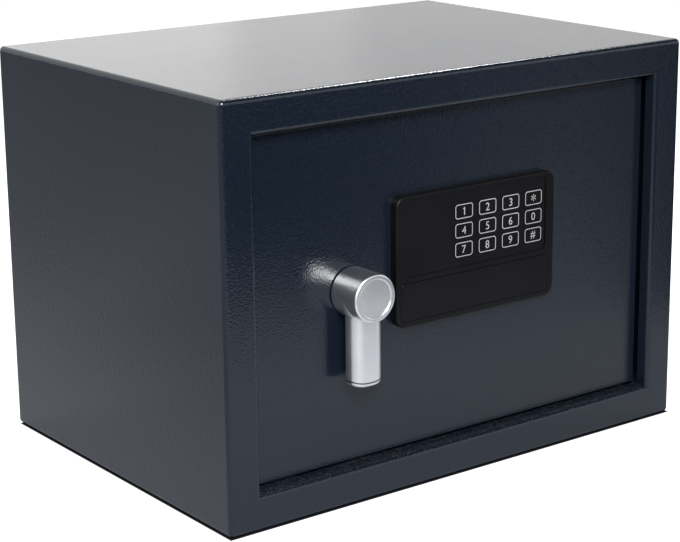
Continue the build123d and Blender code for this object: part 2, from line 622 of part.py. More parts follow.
def make_knob_handle():
    barrel = rod_y(KNOB_X, KNOB_Z, KNOB_RADIUS, KNOB_FRONT_Y, KNOB_BASE_Y)
    barrel = fillet(barrel.edges().sort_by(Axis.Y)[0], KNOB_EDGE_RADIUS)
    end_centre_z = LEVER_END_Z + LEVER_END_RADIUS
    lever = lever_bar(0) & rod_y(KNOB_X, end_centre_z, LEVER_END_RADIUS, LEVER_FRONT_Y, LEVER_REAR_Y)
    lever = fillet(lever.faces().sort_by(Axis.Z)[0].edges().sort_by(Axis.Y)[0], LEVER_END_ROUNDING)
    shoulder = rod_y(KNOB_X, KNOB_Z - SHOULDER_DROP, KNOB_RADIUS, LEVER_FRONT_Y, LEVER_REAR_Y)
    shoulder = fillet(shoulder.edges().sort_by(Axis.Y)[0], LEVER_FRONT_ROUNDING)
    shoulder = fillet(shoulder.edges().sort_by(Axis.Y)[-1], KNOB_EDGE_RADIUS)
    groove_radius = LEVER_END_RADIUS - LEVER_GROOVE_FROM_END
    groove_y = (LEVER_FRONT_Y - 1, LEVER_REAR_Y - 1)
    groove = ring_y(KNOB_X, end_centre_z, groove_radius, groove_radius - LEVER_GROOVE_WIDTH, *groove_y)
    handle = barrel + lever + shoulder - (groove - lever_bar(LEVER_GROOVE_DEPTH))
    handle -= rod_y(KNOB_X, KNOB_Z, KNOB_DISC_RADIUS + PRESS_FIT, KNOB_FRONT_Y - 1, DISC_REAR_Y + PRESS_FIT)
    rim_edges = handle.edges().group_by(Axis.Y)[0]
    handle = fillet(rim_edges.sort_by(SortBy.RADIUS)[0], KNOB_RIM_ROUNDING)
    head_bore = KNOB_SCREW_HEAD_RADIUS + SEAT_GAP
    handle -= rod_y(KNOB_X, KNOB_Z, head_bore, KNOB_FRONT_Y, SCREW_SEAT_Y)
    handle -= rod_y(KNOB_X, KNOB_Z, KNOB_SCREW_RADIUS + SEAT_GAP, KNOB_FRONT_Y, KNOB_BASE_Y)
    handle -= rod_y(KNOB_X, KNOB_Z, SHAFT_RADIUS + PRESS_FIT, SHAFT_FRONT_Y - PRESS_FIT, KNOB_BASE_Y + 1)
    return handle


def make_knob_disc():
    return rod_y(KNOB_X, KNOB_Z, KNOB_DISC_RADIUS, DISC_FRONT_Y, DISC_REAR_Y)


def make_knob_screw():
    top = SCREW_SEAT_Y - KNOB_SCREW_HEAD_HEIGHT
    head = rod_y(KNOB_X, KNOB_Z, KNOB_SCREW_HEAD_RADIUS, top, SCREW_SEAT_Y)
    shank = rod_y(KNOB_X, KNOB_Z, KNOB_SCREW_RADIUS, SCREW_SEAT_Y, SCREW_TIP_Y)
    socket = rod_y(KNOB_X, KNOB_Z, KNOB_SCREW_RADIUS, top - 1, top + KNOB_SCREW_HEAD_HEIGHT / 2)
    return head + shank - socket


def make_knob_shaft():
    shaft = rod_y(KNOB_X, KNOB_Z, SHAFT_RADIUS, SHAFT_FRONT_Y, CAM_Y1)
    shaft += rod_y(KNOB_X, KNOB_Z, SHAFT_THREAD_RADIUS, CAM_Y1, CAM_NUT_Y1)
    bore = KNOB_SCREW_RADIUS + PRESS_FIT
    return shaft - rod_y(KNOB_X, KNOB_Z, bore, SHAFT_FRONT_Y - 1, SCREW_TIP_Y + PRESS_FIT)


def make_knob_washer():
    bore = BUSH_FLANGE_RADIUS + SEAT_GAP
    return ring_y(KNOB_X, KNOB_Z, WASHER_RADIUS, bore, DOOR_Y - WASHER_THICKNESS, DOOR_Y)


def make_shaft_bush():
    y0 = DOOR_Y - WASHER_THICKNESS
    sleeve = rod_y(KNOB_X, KNOB_Z, BUSH_RADIUS, y0, DOOR_REAR)
    sleeve += rod_y(KNOB_X, KNOB_Z, BUSH_FLANGE_RADIUS, y0, DOOR_Y)
    return sleeve - rod_y(KNOB_X, KNOB_Z, SHAFT_RADIUS + RUNNING_FIT, y0 - 1, DOOR_REAR + 1)


def make_drive_cam():
    cam = ring_y(KNOB_X, KNOB_Z, CAM_RADIUS, SHAFT_RADIUS + PRESS_FIT, CAM_Y0, CAM_Y1)
    return cam - rod_y(CRANK_X, CRANK_Z, CRANK_PIN_RADIUS + PRESS_FIT, CAM_Y0 - 1, CAM_Y1 + 1)


def make_crank_pin():
    return rod_y(CRANK_X, CRANK_Z, CRANK_PIN_RADIUS, CARRIER_Y0 + SEAT_GAP, CAM_Y1)


def make_cam_nut():
    return nut_y(KNOB_X, KNOB_Z, CAM_NUT_FLATS, SHAFT_THREAD_RADIUS + PRESS_FIT, CAM_Y1, CAM_NUT_Y1)


# Bolt work


def make_bolt_guide():
    guide = block(GUIDE_X0, GUIDE_X1, DOOR_REAR, COVER_Y, COVER_Z0, COVER_Z1)
    foot_y1 = DOOR_REAR + GUIDE_THICKNESS
    carrier_room = 2 * BOLT_RADIUS
    foot_heights = (
        (COVER_Z0 + 2 * COVER_SHEET, BOLT_HEIGHTS[0] - carrier_room),
        (BOLT_HEIGHTS[1] + carrier_room, COVER_Z1 - 2 * COVER_SHEET),
    )
    for z0, z1 in foot_heights:
        guide += block(GUIDE_X0, GUIDE_X1 + GUIDE_FOOT, DOOR_REAR, foot_y1, z0, z1)
    for z in BOLT_HEIGHTS:
        guide -= rod_x(BOLT_Y, z, BOLT_RADIUS + SLIDE_GAP, GUIDE_X0 - 1, GUIDE_X1 + 1)
    return guide


def make_locking_bolts():
    bolts = []
    for z in BOLT_HEIGHTS:
        bolt = rod_x(BOLT_Y, z, BOLT_RADIUS, BOLT_TIP_X, BOLT_ROOT_X)
        bolt = chamfer(bolt.edges().sort_by(Axis.X)[0], BOLT_RADIUS / 8)
        bore_x0 = BOLT_ROOT_X - BOLT_SCREW_LENGTH
        bolts.append(bolt - rod_x(BOLT_Y, z, BOLT_SCREW_RADIUS + PRESS_FIT, bore_x0, BOLT_ROOT_X + 1))
    return Compound(children=bolts)


def make_bolt_screws():
    screws = []
    for z in BOLT_HEIGHTS:
        shank = rod_x(BOLT_Y, z, BOLT_SCREW_RADIUS, BOLT_ROOT_X - BOLT_SCREW_LENGTH + 1, FLANGE_X1)
        head = rod_x(BOLT_Y, z, BOLT_SCREW_HEAD_RADIUS, FLANGE_X1, FLANGE_X1 + BOLT_SCREW_RADIUS)
        screws.append(shank + head)
    return Compound(children=screws)


def make_bolt_carrier():
    y0 = CARRIER_Y0
    y1 = CARRIER_Y1
    cut = (y0 - 1, y1 + 1)
    carrier = block(BOLT_ROOT_X, CARRIER_X1, y0, y1, CARRIER_Z0, KNOB_Z + CARRIER_SHORT_ABOVE_KNOB)
    carrier += block(BOLT_ROOT_X, BOLT_ROOT_X + CARRIER_TALL_WIDTH, y0, y1, CARRIER_Z0, CARRIER_Z1)
    carrier += block(BOLT_ROOT_X, FLANGE_X1, y0, BOLT_Y + BOLT_RADIUS + 1, CARRIER_Z0, CARRIER_Z1)
    carrier += block(CARRIER_X1 - 1, SHELF_X1, y0, y1, ARM_Z0, SHELF_Z)
    carrier += block(SHELF_X0, SHELF_X1, y0, SHELF_Y1, SHELF_Z - CARRIER_THICKNESS, SHELF_Z)
    for z in BOLT_HEIGHTS:
        carrier -= rod_x(BOLT_Y, z, BOLT_SCREW_RADIUS + PRESS_FIT, BOLT_ROOT_X - 1, FLANGE_X1 + 1)
    stud_room = STUD_RADIUS + SLIDE_GAP
    for z in STUD_HEIGHTS:
        carrier -= slot_x(STUD_X - stud_room, STUD_X + BOLT_THROW + stud_room, z, stud_room, *cut)
    shaft_room = SHAFT_RADIUS + CRANK_SLOT_PLAY
    carrier -= slot_x(KNOB_X - shaft_room, KNOB_X + BOLT_THROW + shaft_room, KNOB_Z, shaft_room, *cut)
    pin_room = CRANK_PIN_RADIUS + CRANK_SLOT_PLAY
    carrier -= block(
        CRANK_X - pin_room, CRANK_X + pin_room, *cut, KNOB_Z - CRANK_RADIUS - pin_room, CRANK_Z + pin_room
    )
    return carrier


def make_guide_studs():
    studs = []
    for z in STUD_HEIGHTS:
        stud = rod_y(STUD_X, z, STUD_RADIUS, DOOR_REAR - STUD_EMBED, CAM_Y0)
        studs.append(stud + rod_y(STUD_X, z, STUD_HEAD_RADIUS, CAM_Y0, CAM_Y0 + STUD_HEAD_HEIGHT))
    return Compound(children=studs)


# Electric lock


def make_solenoid_frame():
    half = SOLENOID_WIDTH / 2
    sheet = SOLENOID_SHEET
    frame = block(PLUNGER_X - half, PLUNGER_X + half, DOOR_REAR, DOOR_REAR + sheet, SOLENOID_Z0, SOLENOID_Z1)
    for z0 in (SOLENOID_Z0, SOLENOID_Z1 - sheet):
        frame += block(PLUNGER_X - half, PLUNGER_X + half, DOOR_REAR, SOLENOID_Y1, z0, z0 + sheet)
    ear_x = half + SOLENOID_EAR
    ear_z = SOLENOID_Z1 - SOLENOID_EAR_HEIGHT
    frame += block(PLUNGER_X - ear_x, PLUNGER_X + ear_x, DOOR_REAR, DOOR_REAR + sheet, ear_z, SOLENOID_Z1)
    for x, z in solenoid_screw_places():
        frame -= rod_y(x, z, SCREW_RADIUS + SLIDE_GAP, DOOR_REAR - 1, DOOR_REAR + sheet + 1)
    bore = PLUNGER_RADIUS + SEAT_GAP
    return frame - rod_z(PLUNGER_X, PLUNGER_Y, bore, SOLENOID_Z0 - 1, SOLENOID_Z0 + sheet + 1)


def make_solenoid_coil():
    z0 = SOLENOID_Z0 + SOLENOID_SHEET
    z1 = SOLENOID_Z1 - SOLENOID_SHEET
    coil = rod_z(PLUNGER_X, PLUNGER_Y, COIL_RADIUS, z0, z1)
    for flange_z in (z0, z1 - SOLENOID_SHEET):
        coil += rod_z(PLUNGER_X, PLUNGER_Y, COIL_FLANGE_RADIUS, flange_z, flange_z + SOLENOID_SHEET)
    return coil - rod_z(PLUNGER_X, PLUNGER_Y, PLUNGER_RADIUS + SEAT_GAP, z0 - 1, z1 - SOLENOID_SHEET)


def make_solenoid_plunger():
    plunger = rod_z(PLUNGER_X, PLUNGER_Y, PLUNGER_RADIUS, PLUNGER_Z0, PLUNGER_Z1)
    cross_pin_y0 = PLUNGER_Y - PLUNGER_RADIUS - CROSS_PIN_RADIUS
    return plunger + rod_y(PLUNGER_X, CROSS_PIN_Z, CROSS_PIN_RADIUS, cross_pin_y0, CROSS_PIN_Y1)


def make_plunger_spring():
    z0 = CROSS_PIN_Z + CROSS_PIN_RADIUS + SEAT_GAP
    outer = rod_z(PLUNGER_X, PLUNGER_Y, SPRING_RADIUS, z0, SOLENOID_Z0)
    return outer - rod_z(PLUNGER_X, PLUNGER_Y, SPRING_RADIUS - SPRING_WALL, z0 - 1, SOLENOID_Z0 + 1)


# Keypad


def key_layout():
    """Each key's node name with its centre, row by row as seen from the front."""
    rows = [["1", "2", "3", "star"], ["4", "5", "6", "0"], ["7", "8", "9", "hash"]]
    layout = []
    for row, names in enumerate(rows):
        for column, name in enumerate(names):
            x = KEY_RIGHT_X - (len(names) - 1 - column) * KEY_PITCH_X
            layout.append(("key_" + name, x, KEY_TOP_Z - row * KEY_PITCH_Z))
    return layout


def key_prism(x, z, grow, y0, y1):
    """A key's outline, grown evenly by a margin."""
    half_w = KEY_WIDTH / 2 + grow
    half_h = KEY_HEIGHT / 2 + grow
    return plate(x - half_w, x + half_w, z - half_h, z + half_h, y0, y1, KEY_CORNER + grow)


def make_key(x, z):
    cap = key_prism(x, z, 0, KEY_FRONT_Y, KEY_FLANGE_Y)
    cap = fillet(front_edges(cap), KEY_PROUD / 2)
    flange = block(
        x - KEY_WIDTH / 2 - KEY_FLANGE_WIDTH, x + KEY_WIDTH / 2 + KEY_FLANGE_WIDTH, KEY_FLANGE_Y, KEY_REAR_Y,
        z - KEY_HEIGHT / 2 - KEY_FLANGE_WIDTH, z + KEY_HEIGHT / 2 + KEY_FLANGE_WIDTH,
    )
    return cap + flange


def strip_leg_places():
    return [
        POCKET_X0 + STRIP_LEG_FROM_SIDE - STRIP_LEG_WIDTH / 2,
        POCKET_X1 - STRIP_LEG_FROM_SIDE - STRIP_LEG_WIDTH / 2,
    ]


def make_keypad_housing():
    housing = plate(KEYPAD_X0, KEYPAD_X1, KEYPAD_Z0, KEYPAD_Z1, KEYPAD_Y, DOOR_Y, KEYPAD_CORNER)
    housing = fillet(front_edges(housing), KEYPAD_EDGE_ROUNDING)
    housing -= plate(FACE_X0, FACE_X1, FACE_Z0, FACE_Z1, KEYPAD_Y - 1, FACE_Y, KEYPAD_RIM_TOP)
    wall = KEYPAD_WALL
    hollow_x = (KEYPAD_X0 + wall, KEYPAD_X1 - wall)
    hollow = plate(*hollow_x, HOLLOW_Z0, KEYPAD_Z1 - wall, FACE_BACK_Y, DOOR_Y + 1, KEYPAD_CORNER - wall)
    for x, z in keypad_screw_places()[:2]:
        hollow -= rod_y(x, z, 2 * SCREW_RADIUS + SLIDE_GAP, FACE_BACK_Y - 1, DOOR_Y)
    housing -= hollow
    pocket_corner = STRIP_CORNER + STRIP_GAP
    housing -= plate(POCKET_X0, POCKET_X1, POCKET_Z0, POCKET_Z1, KEYPAD_Y - 1, POCKET_Y, pocket_corner)
    housing -= rod_y(LOCK_X, LOCK_Z, LOCK_RADIUS + PRESS_FIT, POCKET_Y - 1, DOOR_Y + 1)
    for x0 in strip_leg_places():
        housing -= block(
            x0 - SEAT_GAP, x0 + STRIP_LEG_WIDTH + SEAT_GAP, POCKET_Y - 1, DOOR_Y + 1,
            LOCK_Z - STRIP_LEG_THICKNESS, LOCK_Z + STRIP_LEG_THICKNESS,
        )
    for name, x, z in key_layout():
        housing -= key_prism(x, z, SLIDE_GAP, KEYPAD_Y - 1, FACE_BACK_Y + 1)
    for x, z in keypad_screw_places():
        housing -= rod_y(x, z, SCREW_RADIUS + PRESS_FIT, POCKET_Y + SEAT_GAP, DOOR_Y + 1)
    return housing


def board_outline(y0, y1, inset):
    """The key mat and key board share the hollow's outline and clear the screw posts."""
    gap = KEYPAD_WALL + inset
    corner = KEYPAD_CORNER - KEYPAD_WALL
    sheet = plate(KEYPAD_X0 + gap, KEYPAD_X1 - gap, HOLLOW_Z0 + inset, KEYPAD_Z1 - gap, y0, y1, corner)
    for x, z in keypad_screw_places()[:2]:
        sheet -= rod_y(x, z, 2 * SCREW_RADIUS + 2 * SEAT_GAP, y0 - 1, y1 + 1)
    return sheet


def make_key_mat():
    return board_outline(PAD_Y, KEY_BOARD_Y, SEAT_GAP)


def make_keypad_board():
    return board_outline(KEY_BOARD_Y, KEY_BOARD_Y + BOARD_THICKNESS, SEAT_GAP)


def make_lock_cover():
    strip = plate(
        POCKET_X0 + STRIP_GAP, POCKET_X1 - STRIP_GAP, POCKET_Z0 + STRIP_GAP, POCKET_Z1 - STRIP_GAP,
        STRIP_Y, STRIP_REAR_Y, STRIP_CORNER,
    )
    strip = fillet(front_edges(strip), STRIP_THICKNESS / 4)
    for x0 in strip_leg_places():
        strip += block(
            x0, x0 + STRIP_LEG_WIDTH, STRIP_REAR_Y, STRIP_REAR_Y + STRIP_LEG_LENGTH,
            LOCK_Z - STRIP_LEG_THICKNESS / 2, LOCK_Z + STRIP_LEG_THICKNESS / 2,
        )
    return strip


# Emergency lock


def make_lock_barrel():
    barrel = rod_y(LOCK_X, LOCK_Z, LOCK_RADIUS, LOCK_FRONT_Y, LOCK_REAR_Y)
    barrel += rod_y(LOCK_X, LOCK_Z, LOCK_HEAD_RADIUS, LOCK_FRONT_Y, POCKET_Y)
    return barrel - rod_y(LOCK_X, LOCK_Z, PLUG_RADIUS + RUNNING_FIT, LOCK_FRONT_Y - 1, LOCK_REAR_Y + 1)


def make_lock_plug():
    plug = rod_y(LOCK_X, LOCK_Z, PLUG_RADIUS, LOCK_FRONT_Y, LOCK_REAR_Y)
    side = PLUG_SQUARE / 2
    plug += block(LOCK_X - side, LOCK_X + side, LOCK_REAR_Y, ARM_Y1, LOCK_Z - side, LOCK_Z + side)
    plug -= block(
        LOCK_X - KEYWAY_WIDTH / 2, LOCK_X + KEYWAY_WIDTH / 2, LOCK_FRONT_Y - 1, LOCK_FRONT_Y + KEYWAY_DEPTH,
        LOCK_Z - KEYWAY_HEIGHT / 2, LOCK_Z + KEYWAY_HEIGHT / 2,
    )
    return plug + rod_y(LOCK_X, LOCK_Z, RIVET_RADIUS, ARM_Y1, ARM_Y1 + RIVET_HEIGHT)


def make_lock_nut():
    bore = LOCK_RADIUS + PRESS_FIT
    return nut_y(LOCK_X, LOCK_Z, LOCK_NUT_FLATS, bore, DOOR_REAR, DOOR_REAR + LOCK_NUT_HEIGHT)


def make_override_cam():
    arm = rod_y(LOCK_X, LOCK_Z, ARM_HUB_RADIUS, ARM_Y0, ARM_Y1)
    half = ARM_WIDTH / 2
    arm += slot_x(LOCK_X - ARM_LENGTH, LOCK_X + half, LOCK_Z, half, ARM_Y0, ARM_Y1)
    side = PLUG_SQUARE / 2 + PRESS_FIT
    return arm - block(LOCK_X - side, LOCK_X + side, ARM_Y0 - 1, ARM_Y1 + 1, LOCK_Z - side, LOCK_Z + side)


# Inner cover


def make_inner_cover():
    y0 = DOOR_REAR
    sheet = COVER_SHEET
    cover = block(COVER_X0, COVER_X1, y0, COVER_Y, COVER_Z0, COVER_Z1)
    cover -= block(COVER_X0 - 1, COVER_X1 - sheet, y0 - 1, COVER_INSIDE_Y, COVER_Z0 + sheet, COVER_Z1 - sheet)
    for z0, z1 in ((COVER_Z0 - COVER_FLANGE, COVER_Z0 + sheet), (COVER_Z1 - sheet, COVER_Z1 + COVER_FLANGE)):
        cover += block(COVER_X0, COVER_X1, y0, y0 + sheet, z0, z1)
    gap = SEAT_GAP
    cut = (COVER_INSIDE_Y - 1, COVER_Y + 1)
    cover -= block(TRAY_X0 - gap, TRAY_X1 + gap, *cut, TRAY_Z0 - gap, TRAY_Z1 + gap)
    cover -= rod_y(BUTTON_X, BUTTON_Z, BUTTON_RADIUS + gap, *cut)
    for x, z in cover_screw_places():
        cover -= rod_y(x, z, COVER_SCREW_RADIUS + SLIDE_GAP, y0 - 1, y0 + sheet + 1)
    return cover


def make_cover_screws():
    seat = DOOR_REAR + COVER_SHEET
    size = (COVER_SCREW_RADIUS, COVER_SCREW_HEAD_RADIUS, seat, COVER_SCREW_LENGTH, COVER_SCREW_HEAD_HEIGHT)
    screws = [screw_from_rear(x, z, *size) for x, z in cover_screw_places()]
    return Compound(children=screws)


# Batteries


def cell_heights():
    return [TRAY_Z0 + TRAY_WALL + (row + 0.5) * CELL_PITCH for row in range(CELL_COUNT)]


def make_battery_tray():
    tray = block(TRAY_X0, TRAY_X1, TRAY_Y0, COVER_Y, TRAY_Z0, TRAY_Z1)
    rim = (TRAY_X0 - TRAY_RIM, TRAY_X1 + TRAY_RIM, TRAY_Z0 - TRAY_RIM, TRAY_Z1 + TRAY_RIM)
    tray += plate(*rim, COVER_Y, COVER_Y + TRAY_RIM_THICKNESS, TRAY_RIM)
    wall = TRAY_WALL
    open_y = COVER_Y + TRAY_RIM_THICKNESS + 1
    inside_z = (TRAY_Z0 + wall, TRAY_Z1 - wall)
    return tray - block(TRAY_X0 + wall, TRAY_X1 - wall, TRAY_Y0 + wall, open_y, *inside_z)


def make_batteries():
    cells = []
    x0 = TRAY_X0 + TRAY_WALL + CONTACT_SPACE
    x1 = x0 + CELL_LENGTH
    for row, z in enumerate(cell_heights()):
        if row % 2 == 0:
            can = rod_x(CELL_Y, z, CELL_RADIUS, x0, x1)
            nib = rod_x(CELL_Y, z, CELL_NIB_RADIUS, x1, x1 + CELL_NIB_LENGTH)
        else:
            can = rod_x(CELL_Y, z, CELL_RADIUS, x0 + CELL_NIB_LENGTH, x1 + CELL_NIB_LENGTH)
            nib = rod_x(CELL_Y, z, CELL_NIB_RADIUS, x0, x0 + CELL_NIB_LENGTH)
        cells.append(fillet(can.edges(), CELL_RADIUS / 10) + nib)
    return Compound(children=cells)


def make_battery_contacts():
    """A flat tab against each cell's nib and a blunt coil, made as a sleeve, against its foot."""
    contacts = []
    half = CELL_PITCH / 2 - CONTACT_MARGIN
    for row, z in enumerate(cell_heights()):
        for left in (True, False):
            face_x = TRAY_X0 + TRAY_WALL if left else TRAY_X1 - TRAY_WALL
            inward = 1 if left else -1
            xs = sorted((face_x, face_x + inward * CONTACT_THICKNESS))
            tab = block(xs[0], xs[1], CELL_Y - half, CELL_Y + half, z - half, z + half)
            reach = sorted((face_x, face_x + inward * (CONTACT_SPACE - SEAT_GAP)))
            nib_side = (row % 2 == 0) != left
            radius = CELL_NIB_RADIUS if nib_side else FOOT_COIL_RADIUS
            coil = rod_x(CELL_Y, z, radius, *reach)
            coil -= rod_x(CELL_Y, z, radius - COIL_WIRE, reach[0] - 1, reach[1] + 1)
            contacts.append(tab + coil)
    return Compound(children=contacts)


def make_battery_lid():
    y0 = COVER_Y + TRAY_RIM_THICKNESS + SEAT_GAP
    y1 = y0 + LID_THICKNESS
    edge = TRAY_RIM / 2
    lid = plate(TRAY_X0 - edge, TRAY_X1 + edge, TRAY_Z0 - edge, TRAY_Z1 + edge, y0, y1, TRAY_RIM)
    inset = TRAY_WALL + SEAT_GAP
    lid += block(TRAY_X0 + inset, TRAY_X1 - inset, y0 - LID_PLUG, y0, TRAY_Z0 + inset, TRAY_Z1 - inset)
    notch_z = (TRAY_Z0 + TRAY_Z1) / 2
    return lid - rod_y(TRAY_X1 + edge, notch_z, LID_NOTCH_RADIUS, y1 - LID_THICKNESS / 2, y1 + 1)


# Control board


def make_board_standoffs():
    posts = []
    for x, z in board_screw_places():
        posts.append(ring_y(x, z, STANDOFF_RADIUS, SCREW_RADIUS + PRESS_FIT, DOOR_REAR, CONTROL_Y0))
    return Compound(children=posts)


def make_small_screws():
    """The same screw holds the keypad, the solenoid and the control board."""
    length = DOOR_REAR - POCKET_Y - 2 * SEAT_GAP
    places = [(x, z, DOOR_REAR, length) for x, z in keypad_screw_places()]
    solenoid_seat = DOOR_REAR + SOLENOID_SHEET
    places += [(x, z, solenoid_seat, COVER_SCREW_LENGTH) for x, z in solenoid_screw_places()]
    places += [(x, z, CONTROL_Y1, length) for x, z in board_screw_places()]
    screws = []
    for x, z, seat, reach in places:
        screws.append(screw_from_rear(x, z, SCREW_RADIUS, SCREW_HEAD_RADIUS, seat, reach, SCREW_RADIUS))
    return Compound(children=screws)


def make_control_board():
    corner = BOARD_SCREW_INSET / 4
    board = plate(CONTROL_X0, CONTROL_X1, CONTROL_Z0, CONTROL_Z1, CONTROL_Y0, CONTROL_Y1, corner)
    for x, z in board_screw_places():
        board -= rod_y(x, z, SCREW_RADIUS + SLIDE_GAP, CONTROL_Y0 - 1, CONTROL_Y1 + 1)
    return board


def plug_block_heights():
    """Sockets for the battery, keypad and solenoid leads, from the bottom up."""
    first = CONTROL_Z0 + 2 * BOARD_SCREW_INSET + PLUG_BLOCK_WIDTH / 2
    step = (CONTROL_HEIGHT - 4 * BOARD_SCREW_INSET - PLUG_BLOCK_WIDTH) / 2
    return [first, first + step, first + 2 * step]


def make_board_parts():
    parts = []
    x0 = CONTROL_X0
    y1 = CONTROL_Y1
    half = PLUG_BLOCK_WIDTH / 2
    for z in plug_block_heights():
        parts.append(block(x0, x0 + PLUG_BLOCK_LENGTH, y1, y1 + PLUG_BLOCK_HEIGHT, z - half, z + half))
    side = SWITCH_SIZE / 2
    y2 = y1 + SWITCH_HEIGHT
    parts.append(block(BUTTON_X - side, BUTTON_X + side, y1, y2, BUTTON_Z - side, BUTTON_Z + side))
    middle_x = (CONTROL_X0 + CONTROL_X1) / 2
    chip_z = CONTROL_Z0 + CHIP_HEIGHT_SHARE * CONTROL_HEIGHT
    y2 = y1 + CHIP_THICKNESS
    parts.append(block(middle_x - side, middle_x + 2 * SWITCH_SIZE, y1, y2, chip_z, chip_z + SWITCH_SIZE))
    buzzer_z = CONTROL_Z0 + BUZZER_HEIGHT_SHARE * CONTROL_HEIGHT
    parts.append(rod_y(middle_x + SWITCH_SIZE, buzzer_z, SWITCH_SIZE, y1, y1 + SWITCH_SIZE))
    return Compound(children=parts)


def make_reset_button():
    tip = COVER_Y + BUTTON_PROUD
    foot = CONTROL_Y1 + SWITCH_HEIGHT + BUTTON_TRAVEL + SEAT_GAP
    stem = rod_y(BUTTON_X, BUTTON_Z, BUTTON_RADIUS, foot, tip)
    stem = fillet(stem.edges().sort_by(Axis.Y)[-1], BUTTON_RADIUS / 5)
    y1 = COVER_INSIDE_Y - END_STOP_GAP
    return stem + rod_y(BUTTON_X, BUTTON_Z, BUTTON_FLANGE_RADIUS, y1 - BUTTON_FLANGE_THICKNESS, y1)


def make_cable_grommet():
    y0 = DOOR_Y + GROMMET_LIP
    y1 = DOOR_REAR + GROMMET_LIP
    sleeve = rod_y(CABLE_HOLE_X, CABLE_HOLE_Z, GROMMET_RADIUS, y0, y1)
    sleeve += rod_y(CABLE_HOLE_X, CABLE_HOLE_Z, GROMMET_RADIUS + GROMMET_LIP, DOOR_REAR, y1)
    return sleeve - rod_y(CABLE_HOLE_X, CABLE_HOLE_Z, CABLE_RADIUS + SEAT_GAP, y0 - 1, y1 + 1)


def cable(points, radius, bend):
    """A round lead along straight runs joined by arcs."""
    path = FilletPolyline(*points, radius=bend)
    start = Plane(origin=points[0], z_dir=Vector(*points[1]) - Vector(*points[0]))
    return sweep(start * Circle(radius), path=path)


def keypad_cable():
    y = CONTROL_Y1 + PLUG_BLOCK_HEIGHT / 2
    z = plug_block_heights()[1]
    start_y = KEY_BOARD_Y + BOARD_THICKNESS
    points = [
        (CABLE_HOLE_X, start_y, CABLE_HOLE_Z), (CABLE_HOLE_X, y, CABLE_HOLE_Z),
        ((CABLE_HOLE_X + CONTROL_X0) / 2, y, z), (CONTROL_X0, y, z),
    ]
    bend = 0.4 * min(y - start_y, (CONTROL_X0 - CABLE_HOLE_X) / 2)
    return cable(points, CABLE_RADIUS, bend)


def solenoid_lead():
    y = CONTROL_Y1 + PLUG_BLOCK_HEIGHT / 2
    z0 = (SOLENOID_Z0 + SOLENOID_Z1) / 2
    z1 = plug_block_heights()[2]
    x0 = PLUNGER_X + COIL_RADIUS
    span = CONTROL_X0 - x0
    points = [
        (x0, PLUNGER_Y, z0), (x0 + 0.35 * span, PLUNGER_Y, z0), (x0 + 0.65 * span, y, z1), (CONTROL_X0, y, z1)
    ]
    return cable(points, LEAD_RADIUS, 0.2 * span)


def battery_lead():
    y = CONTROL_Y1 + PLUG_BLOCK_HEIGHT / 2
    z0 = TRAY_Z1 - CELL_PITCH
    z1 = plug_block_heights()[0]
    reach = 0.6 * (z1 - z0)
    points = [(TRAY_X0, y, z0), (TRAY_X0 - reach, y, z0), (TRAY_X0 - reach, y, z1), (CONTROL_X0, y, z1)]
    return cable(points, LEAD_RADIUS, 0.45 * reach)


def make_wiring():
    return Compound(children=[keypad_cable(), solenoid_lead(), battery_lead()])


PIECES = {
    "cabinet_shell": make_cabinet_shell,
    "back_plate": make_back_plate,
    "hinge_plates": make_hinge_plates,
    "hinge_washer": make_hinge_washer,
    "door_stops": make_door_stops,
    "floor_mat": make_floor_mat,
    "door_panel": make_door_panel,
    "hinge_blocks": make_hinge_blocks,
    "hinge_pins": make_hinge_pins,
    "knob_handle": make_knob_handle,
    "knob_disc": make_knob_disc,
    "knob_screw": make_knob_screw,
    "knob_shaft": make_knob_shaft,
    "knob_washer": make_knob_washer,
    "shaft_bush": make_shaft_bush,
    "drive_cam": make_drive_cam,
    "crank_pin": make_crank_pin,
    "cam_nut": make_cam_nut,
    "bolt_guide": make_bolt_guide,
    "locking_bolts": make_locking_bolts,
    "bolt_screws": make_bolt_screws,
    "bolt_carrier": make_bolt_carrier,
    "guide_studs": make_guide_studs,
    "solenoid_frame": make_solenoid_frame,
    "solenoid_coil": make_solenoid_coil,
    "solenoid_plunger": make_solenoid_plunger,
    "plunger_spring": make_plunger_spring,
    "keypad_housing": make_keypad_housing,
    "key_mat": make_key_mat,
    "keypad_board": make_keypad_board,
    "lock_cover": make_lock_cover,
    "lock_barrel": make_lock_barrel,
    "lock_plug": make_lock_plug,
    "lock_nut": make_lock_nut,
    "override_cam": make_override_cam,
    "inner_cover": make_inner_cover,
    "cover_screws": make_cover_screws,
    "battery_tray": make_battery_tray,
    "batteries": make_batteries,
    "battery_contacts": make_battery_contacts,
    "battery_lid": make_battery_lid,
    "board_standoffs": make_board_standoffs,
    "control_board": make_control_board,
    "board_parts": make_board_parts,
    "reset_button": make_reset_button,
    "small_screws": make_small_screws,
    "cable_grommet": make_cable_grommet,
    "wiring": make_wiring,
}


def main():
    os.makedirs("parts", exist_ok=True)
    for name, make in PIECES.items():
        export_step(make(), "parts/" + name + ".step")
    for name, x, z in key_layout():
        export_step(make_key(x, z), "parts/" + name + ".step")


main()
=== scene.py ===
import json
import math

import bmesh
import bpy
from mathutils import Matrix, Vector


